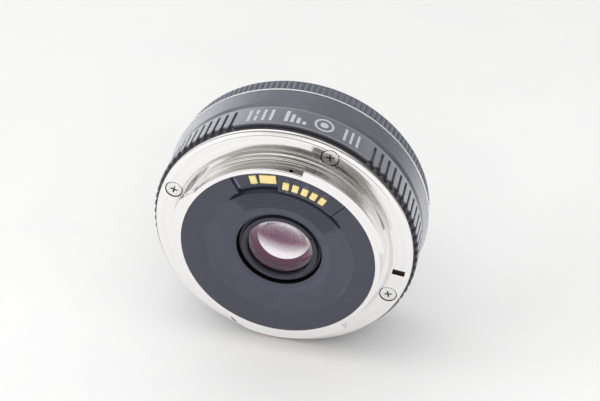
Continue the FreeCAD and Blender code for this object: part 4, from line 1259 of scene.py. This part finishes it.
def lens(name, finish, front_y, front_r, rear_y, rear_r, edge_r, front_clear=None, rear_clear=None):
    front_face = lens_face(front_y, front_r, front_clear or edge_r)
    rear_face = lens_face(rear_y, rear_r, rear_clear or edge_r)
    rim = []
    if front_clear:
        rim.append((edge_r, front_face[-1][1]))
    if rear_clear:
        rim.append((edge_r, rear_face[-1][1]))
    outline = front_face[1:] + rim + list(reversed(rear_face[1:]))
    mesh = bmesh.new()
    segments = 128
    rings = [[polar(r, index * FULL / segments, y) for r, y in outline] for index in range(segments)]
    loops = [[mesh.verts.new(point) for point in ring] for ring in rings]
    poles = [mesh.verts.new(polar(0, 0, y)) for y in (front_y, rear_y)]
    for index in range(segments):
        one, two = loops[index - 1], loops[index]
        mesh.faces.new((one[0], two[0], poles[0]))
        mesh.faces.new((one[-1], two[-1], poles[1]))
        for row in range(len(outline) - 1):
            mesh.faces.new((one[row], one[row + 1], two[row + 1], two[row]))
    return fit(finished(name + "_glass", mesh), "lens_unit", finish, name)


ELEMENTS = (
    ("front_element", "inner_glass", dict(front_y=20.6, front_r=51.5, rear_y=17.9, rear_r=55, edge_r=9.5)),
    ("second_element", "inner_glass", dict(front_y=17.4, front_r=13.5, rear_y=14.41, rear_r=40, edge_r=8.4)),
    ("third_element", "inner_glass",
     dict(front_y=14.39, front_r=40, rear_y=13.3, rear_r=9.5, edge_r=8.4, rear_clear=6.8)),
    ("fourth_element", "shaded_glass",
     dict(front_y=6.6, front_r=-11, rear_y=5.61, rear_r=28, edge_r=8.0, front_clear=6.6)),
    ("fifth_element", "lit_glass", dict(front_y=5.59, front_r=28, rear_y=1.4, rear_r=-14, edge_r=8.0)),
    ("rear_element", "coated_glass", dict(front_y=-0.7, front_r=-60, rear_y=-3.5, rear_r=-22.56, edge_r=9.0)),
)


# ---- the photograph's set --------------------------------------------------------------
def studio_world():
    """White surroundings, with a darker room and a few bright strips behind the camera,
    which only show as reflections in the bare metal."""
    world = bpy.data.worlds.new("studio_world")
    world.use_nodes = True
    nodes = Nodes(world.node_tree)
    background = nodes.tree.nodes["Background"]
    split = nodes.add("ShaderNodeSeparateXYZ")
    nodes.link(nodes.add("ShaderNodeTexCoord").outputs["Generated"], split.inputs[0])
    x, y, z = split.outputs
    azimuth = nodes.math("ARCTAN2", x, nodes.times(y, -1.0))
    share = nodes.math("ADD", nodes.math("DIVIDE", azimuth, math.tau), 0.5)
    horizon = nodes.add("ShaderNodeValToRGB")
    horizon.color_ramp.interpolation = "LINEAR"
    stops = horizon.color_ramp.elements
    for stop, position in zip(stops, (0.0, 1.0)):
        stop.position = position
        stop.color = WHITE
    for degrees, color in HORIZON[1:-1]:
        stops.new(degrees / FULL + 0.5).color = color
    nodes.link(share, horizon.inputs["Fac"])
    above = nodes.ramp(z, 0.75, 0.9, shape="LINEAR")
    nodes.link(nodes.blend(above, horizon.outputs["Color"], WHITE), background.inputs["Color"])
    background.inputs["Strength"].default_value = WORLD_STRENGTH
    return world


def place_camera(scene):
    data = bpy.data.cameras.new("camera")
    data.lens = 72.0
    data.sensor_width = 36.0
    data.clip_start = 0.01
    camera = bpy.data.objects.new("camera", data)
    scene.collection.objects.link(camera)
    forward = Vector(CAMERA_FORWARD).normalized()
    up = Vector(CAMERA_RIGHT).cross(forward).normalized()
    turn = Matrix((forward.cross(up), up, -forward)).transposed().to_4x4()
    camera.matrix_world = Matrix.Translation(Vector(CAMERA_PLACE) * MM) @ turn
    scene.camera = camera


def paper_floor():
    """A sheet of white paper that the lens stands on, tilted to suit the photograph's view."""
    mesh = bmesh.new()
    bmesh.ops.create_grid(mesh, x_segments=24, y_segments=24, size=2.5)
    floor = finished("studio_floor", mesh)
    tilt = Vector(FLOOR_NORMAL).normalized().to_track_quat("Z", "Y").to_matrix().to_4x4()
    floor.matrix_world = Matrix.Translation(Vector(FLOOR_PLACE) * MM) @ tilt
    paper = Finish("backdrop_paper", (0.86, 0.86, 0.86), 0.8)
    paper.tint(paper.ramp(paper.noise(40.0), 0.4, 0.7), (0.85, 0.85, 0.855))
    floor.data.materials.append(paper.material)


def softbox(scene, name, place, size, power, color, mirrored):
    """A soft area light, placed in metres, that faces the object's origin."""
    data = bpy.data.lights.new(name, "AREA")
    data.shape = "RECTANGLE"
    data.size, data.size_y = size
    data.energy = power
    data.color = color
    light = bpy.data.objects.new(name, data)
    scene.collection.objects.link(light)
    light.location = place
    light.visible_glossy = mirrored
    light.rotation_euler = (-Vector(place)).to_track_quat("-Z", "Y").to_euler()


def studio():
    scene = bpy.context.scene
    place_camera(scene)
    scene.view_settings.view_transform = "Standard"
    paper_floor()
    scene.world = studio_world()
    scene.cycles.max_bounces = LIGHT_BOUNCES
    scene.cycles.transmission_bounces = LIGHT_BOUNCES
    softbox(scene, "key_softbox", (-0.8, 0.1, 1.1), (1.8, 1.5), 3.8, (1.0, 0.99, 0.98), True)
    softbox(scene, "fill_softbox", (0.7, -0.5, 0.9), (1.4, 1.2), 4.6, (0.98, 0.99, 1.0), False)
    softbox(scene, "front_softbox", (0.1, -1.1, 0.7), (1.2, 1.0), 7.0, (1.0, 1.0, 1.0), False)
    softbox(scene, "left_softbox", (-1.0, -0.45, 0.3), (0.9, 0.7), 5.0, (1.0, 0.99, 0.98), False)


dress_cad_nodes()
mount_ring()
mount_screws()
side_screw()
rear_baffle()
contact_block()
contact_pins()
outer_barrel()
printed_marks()
trim_ring()
index_bead()
slider_plate()
slider_knob()
focus_ring()
felt_band()
front_bezel()
front_barrel()
name_ring()
cell_fronts()
for element, glass_finish, figures in ELEMENTS:
    lens(element, glass_finish, **figures)
studio()
